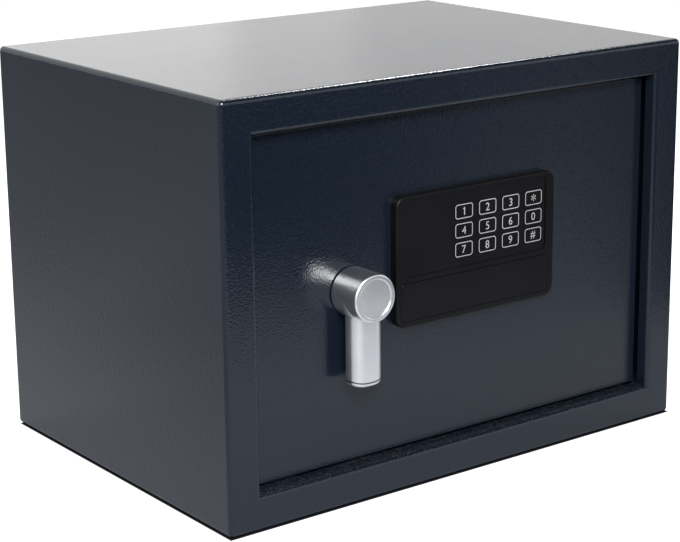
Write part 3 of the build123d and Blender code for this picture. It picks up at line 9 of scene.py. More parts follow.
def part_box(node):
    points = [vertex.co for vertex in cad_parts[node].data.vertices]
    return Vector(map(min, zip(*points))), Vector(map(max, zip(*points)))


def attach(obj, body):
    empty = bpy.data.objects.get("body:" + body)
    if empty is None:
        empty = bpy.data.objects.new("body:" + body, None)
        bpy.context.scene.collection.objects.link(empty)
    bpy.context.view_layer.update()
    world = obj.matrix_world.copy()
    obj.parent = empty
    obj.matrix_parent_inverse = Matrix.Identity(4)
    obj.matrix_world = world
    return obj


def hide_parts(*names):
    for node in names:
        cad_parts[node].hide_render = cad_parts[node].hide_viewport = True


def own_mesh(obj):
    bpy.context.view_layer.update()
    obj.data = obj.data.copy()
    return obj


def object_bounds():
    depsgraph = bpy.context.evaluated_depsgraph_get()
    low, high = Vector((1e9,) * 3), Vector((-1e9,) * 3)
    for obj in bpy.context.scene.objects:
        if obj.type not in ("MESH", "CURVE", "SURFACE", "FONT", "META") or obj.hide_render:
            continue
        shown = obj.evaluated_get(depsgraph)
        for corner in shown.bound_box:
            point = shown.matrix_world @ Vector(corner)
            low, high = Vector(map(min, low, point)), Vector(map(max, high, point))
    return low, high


# Camera, as the photograph was taken
CAMERA_PLACE = (-0.72981, -0.97509, 0.43230)
CAMERA_HEADING = 37.398
CAMERA_PITCH = -14.916
CAMERA_ROLL = -0.41
CAMERA_LENS = 102.70
CAMERA_SENSOR = 36.0
CAMERA_SHIFT = (-0.0346, -0.0164)
CAMERA_CLIP = (0.01, 50.0)

# Softboxes as name, place, size and radiance
SOFTBOXES = (
    ("overhead_softbox", (0.76, 0.265, 1.22), (0.30, 0.30), 28.0),
    ("camera_softbox", (-0.65, -1.13, 0.96), (0.44, 0.60), 31.0),
    ("back_panel", (0.81, 1.83, 0.62), (0.55, 1.0), 0.28),
    ("wide_back_panel", (0.90, 1.77, 0.62), (0.75, 1.0), 0.18),
    ("left_fill", (-1.3, 0.5, 0.8), (0.8, 0.8), 2.5),
)
LIGHT_TARGET = (0, 0, 0.125)
ROOM_LIGHT = 0.35
CEILING_PLACE = (0.7, -0.7, 1.45)
CEILING_SIZE = (2.6, 1.8)
CEILING_COLOUR = (0.01, 0.01, 0.01)

# Floor as the camera sees it
FLOOR_RADIUS = 6.0
FLOOR_DROP = 0.0002
FLOOR_GLOW = 0.68
# The darker floor colour is a painted contact shadow under the object's footprint
FLOOR_COLOURS = ((0.02, 0.02, 0.022), (0.8, 0.8, 0.8))
CONTACT_SHADE = (-0.0004, 0.0008)

# Table as reflections see it: a round top, and a band along the object's diagonal
TABLE_CENTRE = (-0.90, 0.90)
TABLE_RADIUS = 1.725
TABLE_FADE = 0.03
TABLE_GLOW = 0.40
TABLE_GLOW_COLOUR = (0.92, 0.95, 1.0)
TABLE_COLOURS = ((0.02, 0.02, 0.025), (0.30, 0.31, 0.33))
TABLE_LEFT_FADE = (-0.45, -0.20)
TABLE_LEFT_SHARE = 0.6
SIDE_BAND_RISE = (-0.35, 0.0)
SIDE_BAND_FALL = (0.025, 0.06)
SIDE_BAND_SHARE = 0.85

# Darker and lighter colour of each finish
PAINT = ((0.0050, 0.0085, 0.0160), (0.0072, 0.0118, 0.0205))
BLACK = ((0.0026, 0.0027, 0.0032), (0.0036, 0.0037, 0.0044))
SILVER = ((0.80, 0.81, 0.83), (0.88, 0.885, 0.90))
DISC = ((0.76, 0.77, 0.79), (0.84, 0.845, 0.86))
BAR = ((0.62, 0.63, 0.66), (0.8, 0.81, 0.84))
ZINC = ((0.42, 0.43, 0.45), (0.66, 0.67, 0.7))
LOCK = ((0.55, 0.55, 0.56), (0.72, 0.72, 0.73))
BRASS = ((0.55, 0.38, 0.13), (0.72, 0.53, 0.22))
COPPER = ((0.5, 0.16, 0.05), (0.7, 0.28, 0.1))
IVORY = ((0.62, 0.61, 0.55), (0.72, 0.71, 0.66))
RED = ((0.42, 0.012, 0.01), (0.55, 0.02, 0.016))
RUBBER = ((0.010, 0.010, 0.010), (0.018, 0.018, 0.018))
AMBER = ((0.4, 0.26, 0.02), (0.52, 0.36, 0.04))
LEAD_RED = ((0.22, 0.01, 0.01), (0.3, 0.016, 0.014))
INK = ((0.40, 0.40, 0.41), (0.48, 0.48, 0.49))
FELT = ((0.018, 0.018, 0.02), (0.06, 0.06, 0.066))
BOARD = ((0.006, 0.05, 0.02), (0.02, 0.12, 0.045))
CELL = ((0.012, 0.013, 0.016), (0.42, 0.2, 0.07))

# Colours laid over a finish
DUST_COLOUR = (0.16, 0.16, 0.165)
# GROOVE_SHADE_COLOUR is painted shade in the lever's groove
GROOVE_SHADE_COLOUR = (0.12, 0.12, 0.13)
SCUFF_COLOUR = (0.2, 0.2, 0.2)

# Finishes
OWN_FINISHES = {"knob_disc": "satin_disc", "knob_handle": "grooved_silver"}
SILVER_ROUGHNESS = 0.315
BLACK_SPECULAR = 0.17
PLATING_DEPTH = 0.000004
LINES_ALONG = 60.0
LINES_ACROSS = 4000.0
FELT_TURNS = (0.4, 2.1)
FELT_STRETCH = (260.0, 2600.0, 1200.0)
FELT_DEPTH = 0.0002
TRACK_EDGE = (0.36, 0.4)
TRACK_DEPTH = 0.00003
CELL_SHOULDER_X = 0.0920
CELL_SHOULDER_EDGE = 0.0002
CELL_SCUFF_DEPTH = 0.00001

# Groove near the lever's end, darkened with painted shade
LEVER_END_RADIUS = 0.045
LEVER_GROOVE_RADII = (0.0421, 0.0428)
LEVER_GROOVE_EDGE = 0.00005

# Keys
KEY_NAMES = ("1", "2", "3", "star", "4", "5", "6", "0", "7", "8", "9", "hash")
KEY_SIGNS = {"star": "*", "hash": "#"}
KEY_PRINT_INSET = 0.00102
KEY_PRINT_LINE = 0.00052
KEY_PRINT_CORNER = 0.0018
KEY_PRINT_THICKNESS = 0.00003
KEY_PRINT_SINK = 0.000001
KEY_DIGIT_HEIGHT = 0.0048
KEY_SIGN_HEIGHTS = {"star": 0.0044, "hash": 0.0048}

# Outline of the digit 1, in shares of its height
ONE_SHAPE = (
    (0.13, -0.5), (0.13, 0.5), (0.02, 0.5), (-0.05, 0.42),
    (-0.19, 0.36), (-0.19, 0.25), (-0.02, 0.30), (-0.02, -0.5),
)

# Cells and their contacts
CELL_COUNT = 4
CELL_PITCH = 0.0156
CONTACT_REACH = 0.0030
CONTACT_HALF = 0.0068
CONTACT_SHEET = 0.0004
CONTACT_CORNER = 0.0012
CONTACT_FOOT_RADIUS = 0.0042
CONTACT_TIP_RADIUS = 0.0018
CONTACT_BUTTON_RADIUS = 0.0024
CONTACT_BUTTON_PROFILE = ((0.0, 1.0), (0.55, 0.93), (0.85, 0.75), (1.0, 0.45), (1.0, 0.1))

# Springs and windings
SPRING_WIRE = 0.0004
SPRING_TURNS = 7.0
CONTACT_WIRE = 0.00035
CONTACT_TURNS = 3.5
COIL_WIRE = 0.00028
COIL_WIRE_PROUD = 0.4
COIL_FLANGE = 0.0016
COIL_BELOW_FLANGE = 0.0006
COIL_TURNS = 38.0

# Weld beads
BEAD_STEP = 0.0012
BEAD_RADIUS = 0.0013
BEAD_SMALLEST = 0.85
BEAD_LARGEST = 1.08
BEAD_SEED = 7
HINGE_BLOCK_LENGTH = 0.025

# Points nearer than this become one
MERGE_DISTANCE = 1e-7


# Node helpers


def node(tree, kind, **values):
    """A new node, with its settings and its unlinked inputs given by name."""
    made = tree.nodes.new(kind)
    for name, value in values.items():
        if name.startswith("in_"):
            made.inputs[name[3:]].default_value = value
        else:
            setattr(made, name, value)
    return made


def link(tree, out, into):
    tree.links.new(out, into)


def math_node(tree, operation, *values):
    """A math node over numbers or linked values."""
    made = node(tree, "ShaderNodeMath", operation=operation)
    for socket, value in zip(made.inputs, values):
        if isinstance(value, (int, float)):
            socket.default_value = value
        else:
            link(tree, value, socket)
    return made.outputs[0]


def spread(tree, value, low, high, to_low=0.0, to_high=1.0):
    """Maps a value's range onto another, with smooth ends."""
    made = node(tree, "ShaderNodeMapRange", interpolation_type="SMOOTHSTEP")
    for name, number in (("From Min", low), ("From Max", high), ("To Min", to_low), ("To Max", to_high)):
        made.inputs[name].default_value = number
    link(tree, value, made.inputs["Value"])
    return made.outputs["Result"]


def new_group(name, inputs, outputs):
    """A shader group with named number inputs and named outputs."""
    group = bpy.data.node_groups.new(name, "ShaderNodeTree")
    for label, value in inputs.items():
        socket = group.interface.new_socket(label, in_out="INPUT", socket_type="NodeSocketFloat")
        socket.default_value = value
    for label in outputs:
        group.interface.new_socket(label, in_out="OUTPUT", socket_type="NodeSocketFloat")
    start = group.nodes.new("NodeGroupInput")
    end = group.nodes.new("NodeGroupOutput")
    return group, start.outputs, end.inputs


def place_group(tree, group, **values):
    made = tree.nodes.new("ShaderNodeGroup")
    made.node_tree = group
    for name, value in values.items():
        made.inputs[name.replace("_", " ")].default_value = value
    return made.outputs


def object_place(tree):
    return tree.nodes.new("ShaderNodeTexCoord").outputs["Object"]


# Shared effects


def powder_coat_group():
    """The lumpy skin of textured powder coat, with its fine grain."""
    scales = {"Lumps per metre": 700.0, "Grain per metre": 2600.0}
    group, given, result = new_group("powder_coat_skin", scales, ("Height", "Shade", "Gloss"))
    place = object_place(group)
    lumps = node(group, "ShaderNodeTexNoise", in_Detail=1.5, in_Roughness=0.45)
    link(group, place, lumps.inputs["Vector"])
    link(group, given["Lumps per metre"], lumps.inputs["Scale"])
    cells = node(group, "ShaderNodeTexVoronoi", feature="SMOOTH_F1", in_Smoothness=0.6)
    link(group, place, cells.inputs["Vector"])
    link(group, given["Lumps per metre"], cells.inputs["Scale"])
    grain = node(group, "ShaderNodeTexNoise", in_Detail=1.0)
    link(group, place, grain.inputs["Vector"])
    link(group, given["Grain per metre"], grain.inputs["Scale"])
    mixed = math_node(group, "MULTIPLY_ADD", cells.outputs["Distance"], -0.5, lumps.outputs["Fac"])
    height = math_node(group, "MULTIPLY_ADD", grain.outputs["Fac"], 0.12, mixed)
    link(group, height, result["Height"])
    link(group, spread(group, height, -0.1, 0.6), result["Shade"])
    link(group, spread(group, grain.outputs["Fac"], 0.35, 0.65), result["Gloss"])
    return group


def handling_group():
    """Broad uneven gloss from handling, and thin settled dust on faces that look up."""
    group, given, result = new_group("handling", {"Patches per metre": 14.0, "Dust": 0.5}, ("Gloss", "Dust"))
    place = object_place(group)
    patches = node(group, "ShaderNodeTexNoise", in_Detail=4.0, in_Roughness=0.6, in_Distortion=0.4)
    link(group, place, patches.inputs["Vector"])
    link(group, given["Patches per metre"], patches.inputs["Scale"])
    link(group, spread(group, patches.outputs["Fac"], 0.35, 0.7), result["Gloss"])
    specks = node(group, "ShaderNodeTexNoise", in_Scale=900.0, in_Detail=2.0)
    link(group, place, specks.inputs["Vector"])
    facing = node(group, "ShaderNodeSeparateXYZ")
    link(group, node(group, "ShaderNodeNewGeometry").outputs["Normal"], facing.inputs[0])
    upward = spread(group, facing.outputs["Z"], 0.6, 1.0)
    dust = math_node(group, "MULTIPLY", upward, spread(group, specks.outputs["Fac"], 0.5, 0.72))
    dust = math_node(group, "MULTIPLY", dust, given["Dust"])
    link(group, dust, result["Dust"])
    return group


def moulded_group():
    """Fine spark-eroded grain of moulded plastic."""
    group, given, result = new_group("moulded_grain", {"Grain per metre": 3500.0}, ("Height", "Gloss"))
    place = object_place(group)
    grain = node(group, "ShaderNodeTexVoronoi", feature="SMOOTH_F1", in_Smoothness=0.8)
    link(group, place, grain.inputs["Vector"])
    link(group, given["Grain per metre"], grain.inputs["Scale"])
    flow = node(group, "ShaderNodeTexNoise", in_Scale=30.0, in_Detail=3.0)
    link(group, place, flow.inputs["Vector"])
    link(group, grain.outputs["Distance"], result["Height"])
    link(group, spread(group, flow.outputs["Fac"], 0.35, 0.7), result["Gloss"])
    return group


def plating_group():
    """Blasted and plated metal: a very fine tooth and a soft cloudiness."""
    scales = {"Tooth per metre": 6000.0, "Clouds per metre": 60.0}
    group, given, result = new_group("plated_metal", scales, ("Height", "Gloss", "Tone"))
    place = object_place(group)
    tooth = node(group, "ShaderNodeTexNoise", in_Detail=2.0)
    link(group, place, tooth.inputs["Vector"])
    link(group, given["Tooth per metre"], tooth.inputs["Scale"])
    clouds = node(group, "ShaderNodeTexNoise", in_Detail=4.0, in_Roughness=0.55)
    link(group, place, clouds.inputs["Vector"])
    link(group, given["Clouds per metre"], clouds.inputs["Scale"])
    link(group, tooth.outputs["Fac"], result["Height"])
    link(group, spread(group, clouds.outputs["Fac"], 0.3, 0.7), result["Gloss"])
    tone = math_node(group, "MULTIPLY_ADD", tooth.outputs["Fac"], 0.3, clouds.outputs["Fac"])
    link(group, spread(group, tone, 0.3, 1.0), result["Tone"])
    return group


def turning_group():
    """Fine lines left by drawing or turning, stretched along X, Y or Z."""
    scales = {"Along X": LINES_ALONG, "Along Y": LINES_ACROSS, "Along Z": LINES_ACROSS}
    group, given, result = new_group("drawn_lines", scales, ("Height", "Gloss"))
    place = object_place(group)
    scale = node(group, "ShaderNodeCombineXYZ")
    for axis in "XYZ":
        link(group, given["Along " + axis], scale.inputs[axis])
    stretched = node(group, "ShaderNodeVectorMath", operation="MULTIPLY")
    link(group, place, stretched.inputs[0])
    link(group, scale.outputs[0], stretched.inputs[1])
    lines = node(group, "ShaderNodeTexNoise", in_Scale=1.0, in_Detail=2.0)
    link(group, stretched.outputs[0], lines.inputs["Vector"])
    link(group, lines.outputs["Fac"], result["Height"])
    link(group, spread(group, lines.outputs["Fac"], 0.3, 0.7), result["Gloss"])
    return group


# Materials


def empty_material(name):
    """A material with nothing but its output."""
    material = bpy.data.materials.new(name)
    material.use_nodes = True
    tree = material.node_tree
    tree.nodes.clear()
    return material, tree, tree.nodes.new("ShaderNodeOutputMaterial")


def principled(name, roughness, metallic=0.0, specular=0.5):
    """A material with only its Principled BSDF and output, for the finish's own nodes to feed."""
    material, tree, output = empty_material(name)
    shader = tree.nodes.new("ShaderNodeBsdfPrincipled")
    shader.inputs["Roughness"].default_value = roughness
    shader.inputs["Metallic"].default_value = metallic
    shader.inputs["Specular IOR Level"].default_value = specular
    link(tree, shader.outputs[0], output.inputs[0])
    return material, tree, shader


def two_colours(tree, mask, colours, shader=None, socket="Base Color"):
    """Blends a pair of colours by a mask, into a shader's colour where one is given."""
    mix = node(tree, "ShaderNodeMix", data_type="RGBA")
    sockets = [s for s in mix.inputs if s.type == "RGBA"]
    for side, colour in zip(sockets, colours):
        side.default_value = (*colour, 1)
    link(tree, mask, mix.inputs["Factor"])
    out = [s for s in mix.outputs if s.type == "RGBA"][0]
    if shader is not None:
        link(tree, out, shader.inputs[socket])
    return out


def over_colour(tree, mask, under, over, shader):
    """Lays one more colour over a linked one by a mask."""
    mix = node(tree, "ShaderNodeMix", data_type="RGBA")
    sockets = [s for s in mix.inputs if s.type == "RGBA"]
    link(tree, under, sockets[0])
    sockets[1].default_value = (*over, 1)
    link(tree, mask, mix.inputs["Factor"])
    out = [s for s in mix.outputs if s.type == "RGBA"][0]
    link(tree, out, shader.inputs["Base Color"])


def uneven_gloss(tree, gloss, amount, base, shader):
    """Roughness that rises from a base by a share of the gloss mask."""
    rough = math_node(tree, "MULTIPLY_ADD", gloss, amount, base)
    link(tree, rough, shader.inputs["Roughness"])


def bump(tree, height, distance, shader):
    made = node(tree, "ShaderNodeBump", in_Distance=distance, in_Strength=1.0)
    link(tree, height, made.inputs["Height"])
    link(tree, made.outputs["Normal"], shader.inputs["Normal"])


def powder_coat(name, colours, groups, roughness=0.14, lumps=900.0, depth=0.00012):
    """Textured powder coat, worn unevenly and dusty on top."""
    material, tree, shader = principled(name, roughness)
    skin = place_group(tree, groups["powder"], Lumps_per_metre=lumps, Grain_per_metre=3.6 * lumps)
    marks = place_group(tree, groups["handling"], Patches_per_metre=14.0, Dust=0.35)
    colour = two_colours(tree, skin["Shade"], colours)
    over_colour(tree, marks["Dust"], colour, DUST_COLOUR, shader)
    worn = math_node(tree, "MULTIPLY_ADD", marks["Gloss"], 0.015, roughness - 0.02)
    uneven_gloss(tree, skin["Gloss"], 0.04, worn, shader)
    bump(tree, skin["Height"], depth, shader)
    return material


def moulded(name, colours, groups, roughness=0.4, grain=3500.0, depth=0.000012, specular=0.5):
    """Moulded plastic, rubber or print, with a fine grain."""
    material, tree, shader = principled(name, roughness, specular=specular)
    skin = place_group(tree, groups["moulded"], Grain_per_metre=grain)
    two_colours(tree, skin["Gloss"], colours, shader)
    uneven_gloss(tree, skin["Gloss"], 0.08, roughness - 0.04, shader)
    bump(tree, skin["Height"], depth, shader)
    return material


def plated(name, colours, groups, roughness, clouds=60.0):
    """Blasted and plated metal."""
    material, tree, shader = principled(name, roughness, metallic=1.0)
    plating = place_group(tree, groups["plating"], Clouds_per_metre=clouds)
    two_colours(tree, plating["Tone"], colours, shader)
    uneven_gloss(tree, plating["Gloss"], 0.06, roughness - 0.03, shader)
    bump(tree, plating["Height"], PLATING_DEPTH, shader)
    return material


def painted_groove_shade_mask(tree):
    """Painted shade in the groove near the lever's end: a thin arc round a centre above the end."""
    low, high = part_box("knob_handle")
    place = node(tree, "ShaderNodeSeparateXYZ")
    link(tree, object_place(tree), place.inputs[0])
    across = math_node(tree, "SUBTRACT", place.outputs["X"], (low.x + high.x) / 2)
    above = math_node(tree, "SUBTRACT", place.outputs["Z"], low.z + LEVER_END_RADIUS)
    below = math_node(tree, "LESS_THAN", above, 0.0)
    across = math_node(tree, "MULTIPLY", across, across)
    reach = math_node(tree, "SQRT", math_node(tree, "MULTIPLY_ADD", above, above, across))
    inner, outer = LEVER_GROOVE_RADII
    mask = spread(tree, reach, inner - LEVER_GROOVE_EDGE, inner)
    mask = math_node(tree, "MULTIPLY", mask, spread(tree, reach, outer, outer + LEVER_GROOVE_EDGE, 1.0, 0.0))
    return math_node(tree, "MULTIPLY", mask, below)


def plating_with_painted_groove_shade(name, colours, groups, roughness):
    """Plated metal whose groove near the lever's end is darkened with painted shade."""
    material, tree, shader = principled(name, roughness, metallic=1.0)
    plating = place_group(tree, groups["plating"])
    colour = two_colours(tree, plating["Tone"], colours)
    # painted shade: the groove's dark line is laid into the colour
    over_colour(tree, painted_groove_shade_mask(tree), colour, GROOVE_SHADE_COLOUR, shader)
    uneven_gloss(tree, plating["Gloss"], 0.06, roughness - 0.03, shader)
    bump(tree, plating["Height"], PLATING_DEPTH, shader)
    return material


def drawn(name, colours, groups, along, roughness=0.22, depth=0.000003):
    """Drawn or turned bright metal, with its lines along one axis."""
    material, tree, shader = principled(name, roughness, metallic=1.0)
    scales = {"Along_" + axis: LINES_ALONG if axis == along else LINES_ACROSS for axis in "XYZ"}
    lines = place_group(tree, groups["turning"], **scales)
    two_colours(tree, lines["Gloss"], colours, shader)
    uneven_gloss(tree, lines["Gloss"], 0.1, roughness - 0.05, shader)
    bump(tree, lines["Height"], depth, shader)
    return material


def felt(name):
    """Needled felt: crossing fibres and small tufts."""
    material, tree, shader = principled(name, 0.95, specular=0.2)
    shader.inputs["Sheen Weight"].default_value = 0.4
    shader.inputs["Sheen Roughness"].default_value = 0.6
    place = object_place(tree)
    heights = []
    for turn in FELT_TURNS:
        turned = node(tree, "ShaderNodeMapping", in_Rotation=(0.0, 0.0, turn), in_Scale=FELT_STRETCH)
        link(tree, place, turned.inputs["Vector"])
        fibres = node(tree, "ShaderNodeTexNoise", in_Scale=1.0, in_Detail=3.0, in_Distortion=0.8)
        link(tree, turned.outputs[0], fibres.inputs["Vector"])
        heights.append(fibres.outputs["Fac"])
    height = math_node(tree, "MAXIMUM", *heights)
    two_colours(tree, spread(tree, height, 0.45, 0.75), FELT, shader)
    bump(tree, height, FELT_DEPTH, shader)
    return material


def circuit_board(name):
    """Solder mask over copper tracks that run square to each other."""
    material, tree, shader = principled(name, 0.3)
    place = object_place(tree)
    steps = node(tree, "ShaderNodeTexVoronoi", feature="F1", distance="CHEBYCHEV", in_Scale=210.0)
    link(tree, place, steps.inputs["Vector"])
    tracks = spread(tree, steps.outputs["Distance"], *TRACK_EDGE)
    two_colours(tree, tracks, BOARD, shader)
    bump(tree, tracks, TRACK_DEPTH, shader)
    return material


def cell_wrap(name):
    """A plain scuffed cell: a dark sleeve and a copper-coloured shoulder."""
    material, tree, shader = principled(name, 0.28)
    place = node(tree, "ShaderNodeSeparateXYZ")
    link(tree, object_place(tree), place.inputs[0])
    shoulder_end = CELL_SHOULDER_X + CELL_SHOULDER_EDGE
    shoulder = spread(tree, place.outputs["X"], CELL_SHOULDER_X, shoulder_end)
    colour = two_colours(tree, shoulder, CELL)
    scuffs = node(tree, "ShaderNodeTexNoise", in_Scale=700.0, in_Detail=4.0)
    link(tree, object_place(tree), scuffs.inputs["Vector"])
    worn = spread(tree, scuffs.outputs["Fac"], 0.62, 0.8, 0.0, 0.4)
    over_colour(tree, worn, colour, SCUFF_COLOUR, shader)
    link(tree, spread(tree, scuffs.outputs["Fac"], 0.3, 0.7, 0.22, 0.36), shader.inputs["Roughness"])
    bump(tree, scuffs.outputs["Fac"], CELL_SCUFF_DEPTH, shader)
    return material


def make_groups():
    return {
        "powder": powder_coat_group(),
        "handling": handling_group(),
        "moulded": moulded_group(),
        "plating": plating_group(),
        "turning": turning_group(),
    }


def make_materials():
    groups = make_groups()
    black = {"groups": groups, "specular": BLACK_SPECULAR}
    rubber = {"grain": 1800.0, "depth": 0.00004}
    tape = {"grain": 900.0, "depth": 0.00003}
    ink = {"grain": 5000.0, "depth": 0.000004}
    return {
        "cabinet_paint": powder_coat("anthracite_powder_coat", PAINT, groups),
        "bare_steel": plated("zinc_plated_steel", ZINC, groups, roughness=0.34, clouds=160.0),
        "polished_bar": drawn("polished_bolt_bar", BAR, groups, along="Y"),
        "satin_silver": plated("satin_silver_plating", SILVER, groups, SILVER_ROUGHNESS),
        "grooved_silver": plating_with_painted_groove_shade("satin_silver_lever", SILVER, groups, SILVER_ROUGHNESS),
        "satin_disc": plated("satin_silver_disc", DISC, groups, roughness=0.34),
        "black_plastic": moulded("satin_black_plastic", BLACK, **black),
        "key_plastic": moulded("black_key_plastic", BLACK, roughness=0.36, **black),
        "white_plastic": moulded("white_socket_plastic", IVORY, groups),
        "red_plastic": moulded("red_button_plastic", RED, groups, roughness=0.3),
        "soft_rubber": moulded("black_rubber", RUBBER, groups, roughness=0.7, **rubber),
        "lining": felt("grey_felt"),
        "lock_metal": plated("plated_lock_zinc", LOCK, groups, roughness=0.24),
        "yellow_metal": drawn("turned_brass", BRASS, groups, along="Z"),
        "board_green": circuit_board("circuit_board"),
        "cell_wrap": cell_wrap("cell_sleeve"),
        "coil_tape": moulded("coil_tape", AMBER, groups, roughness=0.3, **tape),
        "lead_cover": moulded("lead_insulation", LEAD_RED, groups, roughness=0.45),
        "key_ink": moulded("white_key_ink", INK, groups, roughness=0.5, **ink),
        "copper_wire": drawn("enamelled_copper", COPPER, groups, along="Z", roughness=0.25),
    }


# Printed keys


def corner_points(centre_x, centre_z, half_w, half_h, corner, steps=8):
    """The outline of a rectangle with round corners, going round once."""
    points = []
    for quarter, (sx, sz) in enumerate(((1, 1), (-1, 1), (-1, -1), (1, -1))):
        for step in range(steps + 1):
            angle = math.radians(90 * (quarter + step / steps))
            x = centre_x + sx * (half_w - corner) + corner * math.cos(angle)
            z = centre_z + sz * (half_h - corner) + corner * math.sin(angle)
            points.append((x, z))
    return points


def join_rings(bm, ring, following):
    """Faces between two rings of as many points."""
    count = len(ring)
    for i in range(count):
        j = (i + 1) % count
        bm.faces.new((ring[i], ring[j], following[j], following[i]))


def add_outline(bm, low, high, line, corner, front_y, back_y):
    """A printed outline: a closed flat band with a little thickness."""
    centre_x = (low.x + high.x) / 2
    centre_z = (low.z + high.z) / 2
    half_w = (high.x - low.x) / 2
    half_h = (high.z - low.z) / 2
    outer = corner_points(centre_x, centre_z, half_w, half_h, corner)
    inner = corner_points(centre_x, centre_z, half_w - line, half_h - line, corner - line)
    rings = []
    for outline, y in ((outer, front_y), (inner, front_y), (inner, back_y), (outer, back_y)):
        rings.append([bm.verts.new((x, y, z)) for x, z in outline])
    for ring, following in zip(rings, rings[1:] + rings[:1]):
        join_rings(bm, ring, following)


def add_sign(bm, text, height, centre_x, centre_z, front_y, back_y):
    """A printed digit or sign, centred on a key."""
    curve = bpy.data.curves.new("sign", "FONT")
    curve.body = text
    curve.resolution_u = 6
    curve.extrude = 0.5
    thing = bpy.data.objects.new("sign", curve)
    bpy.context.scene.collection.objects.link(thing)
    bpy.context.view_layer.update()
    evaluated = thing.evaluated_get(bpy.context.evaluated_depsgraph_get())
    mesh = bpy.data.meshes.new_from_object(evaluated)
    bpy.data.objects.remove(thing)
    bpy.data.curves.remove(curve)
    xs = [v.co.x for v in mesh.vertices]
    ys = [v.co.y for v in mesh.vertices]
    scale = height / (max(ys) - min(ys))
    middle = ((max(xs) + min(xs)) / 2, (max(ys) + min(ys)) / 2)
    for v in mesh.vertices:
        x = centre_x + (v.co.x - middle[0]) * scale
        z = centre_z + (v.co.y - middle[1]) * scale
        v.co = (x, front_y if v.co.z > 0 else back_y, z)
    bm.from_mesh(mesh)
    bpy.data.meshes.remove(mesh)


def add_one(bm, height, centre_x, centre_z, front_y, back_y):
    """The digit 1 with its flag, as a printed shape."""
    rings = []
    for y in (front_y, back_y):
        rings.append([bm.verts.new((centre_x + x * height, y, centre_z + z * height)) for x, z in ONE_SHAPE])
    join_rings(bm, *rings)
    bm.faces.new(rings[0][::-1])
    bm.faces.new(rings[1])


def finish_mesh(name, bm, material):
    """Turns mesh data into a piece at the origin, with its doubles merged and its faces outwards."""
    bmesh.ops.remove_doubles(bm, verts=bm.verts, dist=MERGE_DISTANCE)
    bmesh.ops.recalc_face_normals(bm, faces=bm.faces)
    mesh = bpy.data.meshes.new(name)
    bm.to_mesh(mesh)
    bm.free()
    mesh.materials.append(material)
    mesh.shade_flat()
    piece = bpy.data.objects.new(name, mesh)
    bpy.context.scene.collection.objects.link(piece)
    return piece


def print_keys(materials):
    """The outline and the digit or sign printed on each key."""
    for name in KEY_NAMES:
        low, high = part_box("key_" + name)
        inset = Vector((KEY_PRINT_INSET, 0, KEY_PRINT_INSET))
        low = low + inset
        high = high - inset
        back_y = low.y + KEY_PRINT_SINK
        front_y = low.y - KEY_PRINT_THICKNESS
        centre_x = (low.x + high.x) / 2
        centre_z = (low.z + high.z) / 2
        bm = bmesh.new()
        add_outline(bm, low, high, KEY_PRINT_LINE, KEY_PRINT_CORNER, front_y, back_y)
        height = KEY_SIGN_HEIGHTS.get(name, KEY_DIGIT_HEIGHT)
        if name == "1":
            add_one(bm, height, centre_x, centre_z, front_y, back_y)
        else:
            add_sign(bm, KEY_SIGNS.get(name, name), height, centre_x, centre_z, front_y, back_y)
        piece = finish_mesh("key_" + name + "_print", bm, materials["key_ink"])
        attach(piece, "key_" + name)


# Pieces that repeat or follow a path


def new_geometry_tree(name, inputs):
    """A geometry tree with named number inputs; returns it with its input and output nodes."""
    tree = bpy.data.node_groups.new(name, "GeometryNodeTree")
    tree.interface.new_socket("Geometry", in_out="INPUT", socket_type="NodeSocketGeometry")
    for label, value in inputs.items():
        socket = tree.interface.new_socket(label, in_out="INPUT", socket_type="NodeSocketFloat")
        socket.default_value = value
    tree.interface.new_socket("Geometry", in_out="OUTPUT", socket_type="NodeSocketGeometry")
    return tree, tree.nodes.new("NodeGroupInput").outputs, tree.nodes.new("NodeGroupOutput").inputs


def end_tree(tree, geometry, result, material):
    """Ends a tree in Realize Instances and Set Material."""
    realize = tree.nodes.new("GeometryNodeRealizeInstances")
    finish = tree.nodes.new("GeometryNodeSetMaterial")
    finish.inputs["Material"].default_value = material
    link(tree, geometry, realize.inputs[0])
    link(tree, realize.outputs[0], finish.inputs[0])
    link(tree, finish.outputs[0], result["Geometry"])


def helix_tree(material):
    """Wire wound upwards from each point, opening or closing evenly from foot to tip."""
    sizes = {"Turns": 7.0, "Foot radius": 0.004, "Tip radius": 0.004}
    sizes.update({"Length": 0.01, "Wire radius": 0.0004})
    tree, given, result = new_geometry_tree("wound_wire", sizes)
    spiral = node(tree, "GeometryNodeCurveSpiral", in_Resolution=28)
    sockets = (("Turns", "Rotations"), ("Foot radius", "Start Radius"), ("Tip radius", "End Radius"))
    for label, socket in sockets:
        link(tree, given[label], spiral.inputs[socket])
    link(tree, given["Length"], spiral.inputs["Height"])
    section = node(tree, "GeometryNodeCurvePrimitiveCircle", in_Resolution=8)
    link(tree, given["Wire radius"], section.inputs["Radius"])
    wire = tree.nodes.new("GeometryNodeCurveToMesh")
    wire.inputs["Fill Caps"].default_value = True
    link(tree, spiral.outputs[0], wire.inputs["Curve"])
    link(tree, section.outputs[0], wire.inputs["Profile Curve"])
    smooth = tree.nodes.new("GeometryNodeSetShadeSmooth")
    link(tree, wire.outputs[0], smooth.inputs[0])
    turn = node(tree, "GeometryNodeInputNamedAttribute", data_type="FLOAT_VECTOR")
    turn.inputs["Name"].default_value = "turn"
    rotation = tree.nodes.new("FunctionNodeEulerToRotation")
    link(tree, turn.outputs["Attribute"], rotation.inputs[0])
    place = tree.nodes.new("GeometryNodeInstanceOnPoints")
    link(tree, given["Geometry"], place.inputs["Points"])
    link(tree, smooth.outputs[0], place.inputs["Instance"])
    link(tree, rotation.outputs[0], place.inputs["Rotation"])
    end_tree(tree, place.outputs[0], result, material)
    return tree


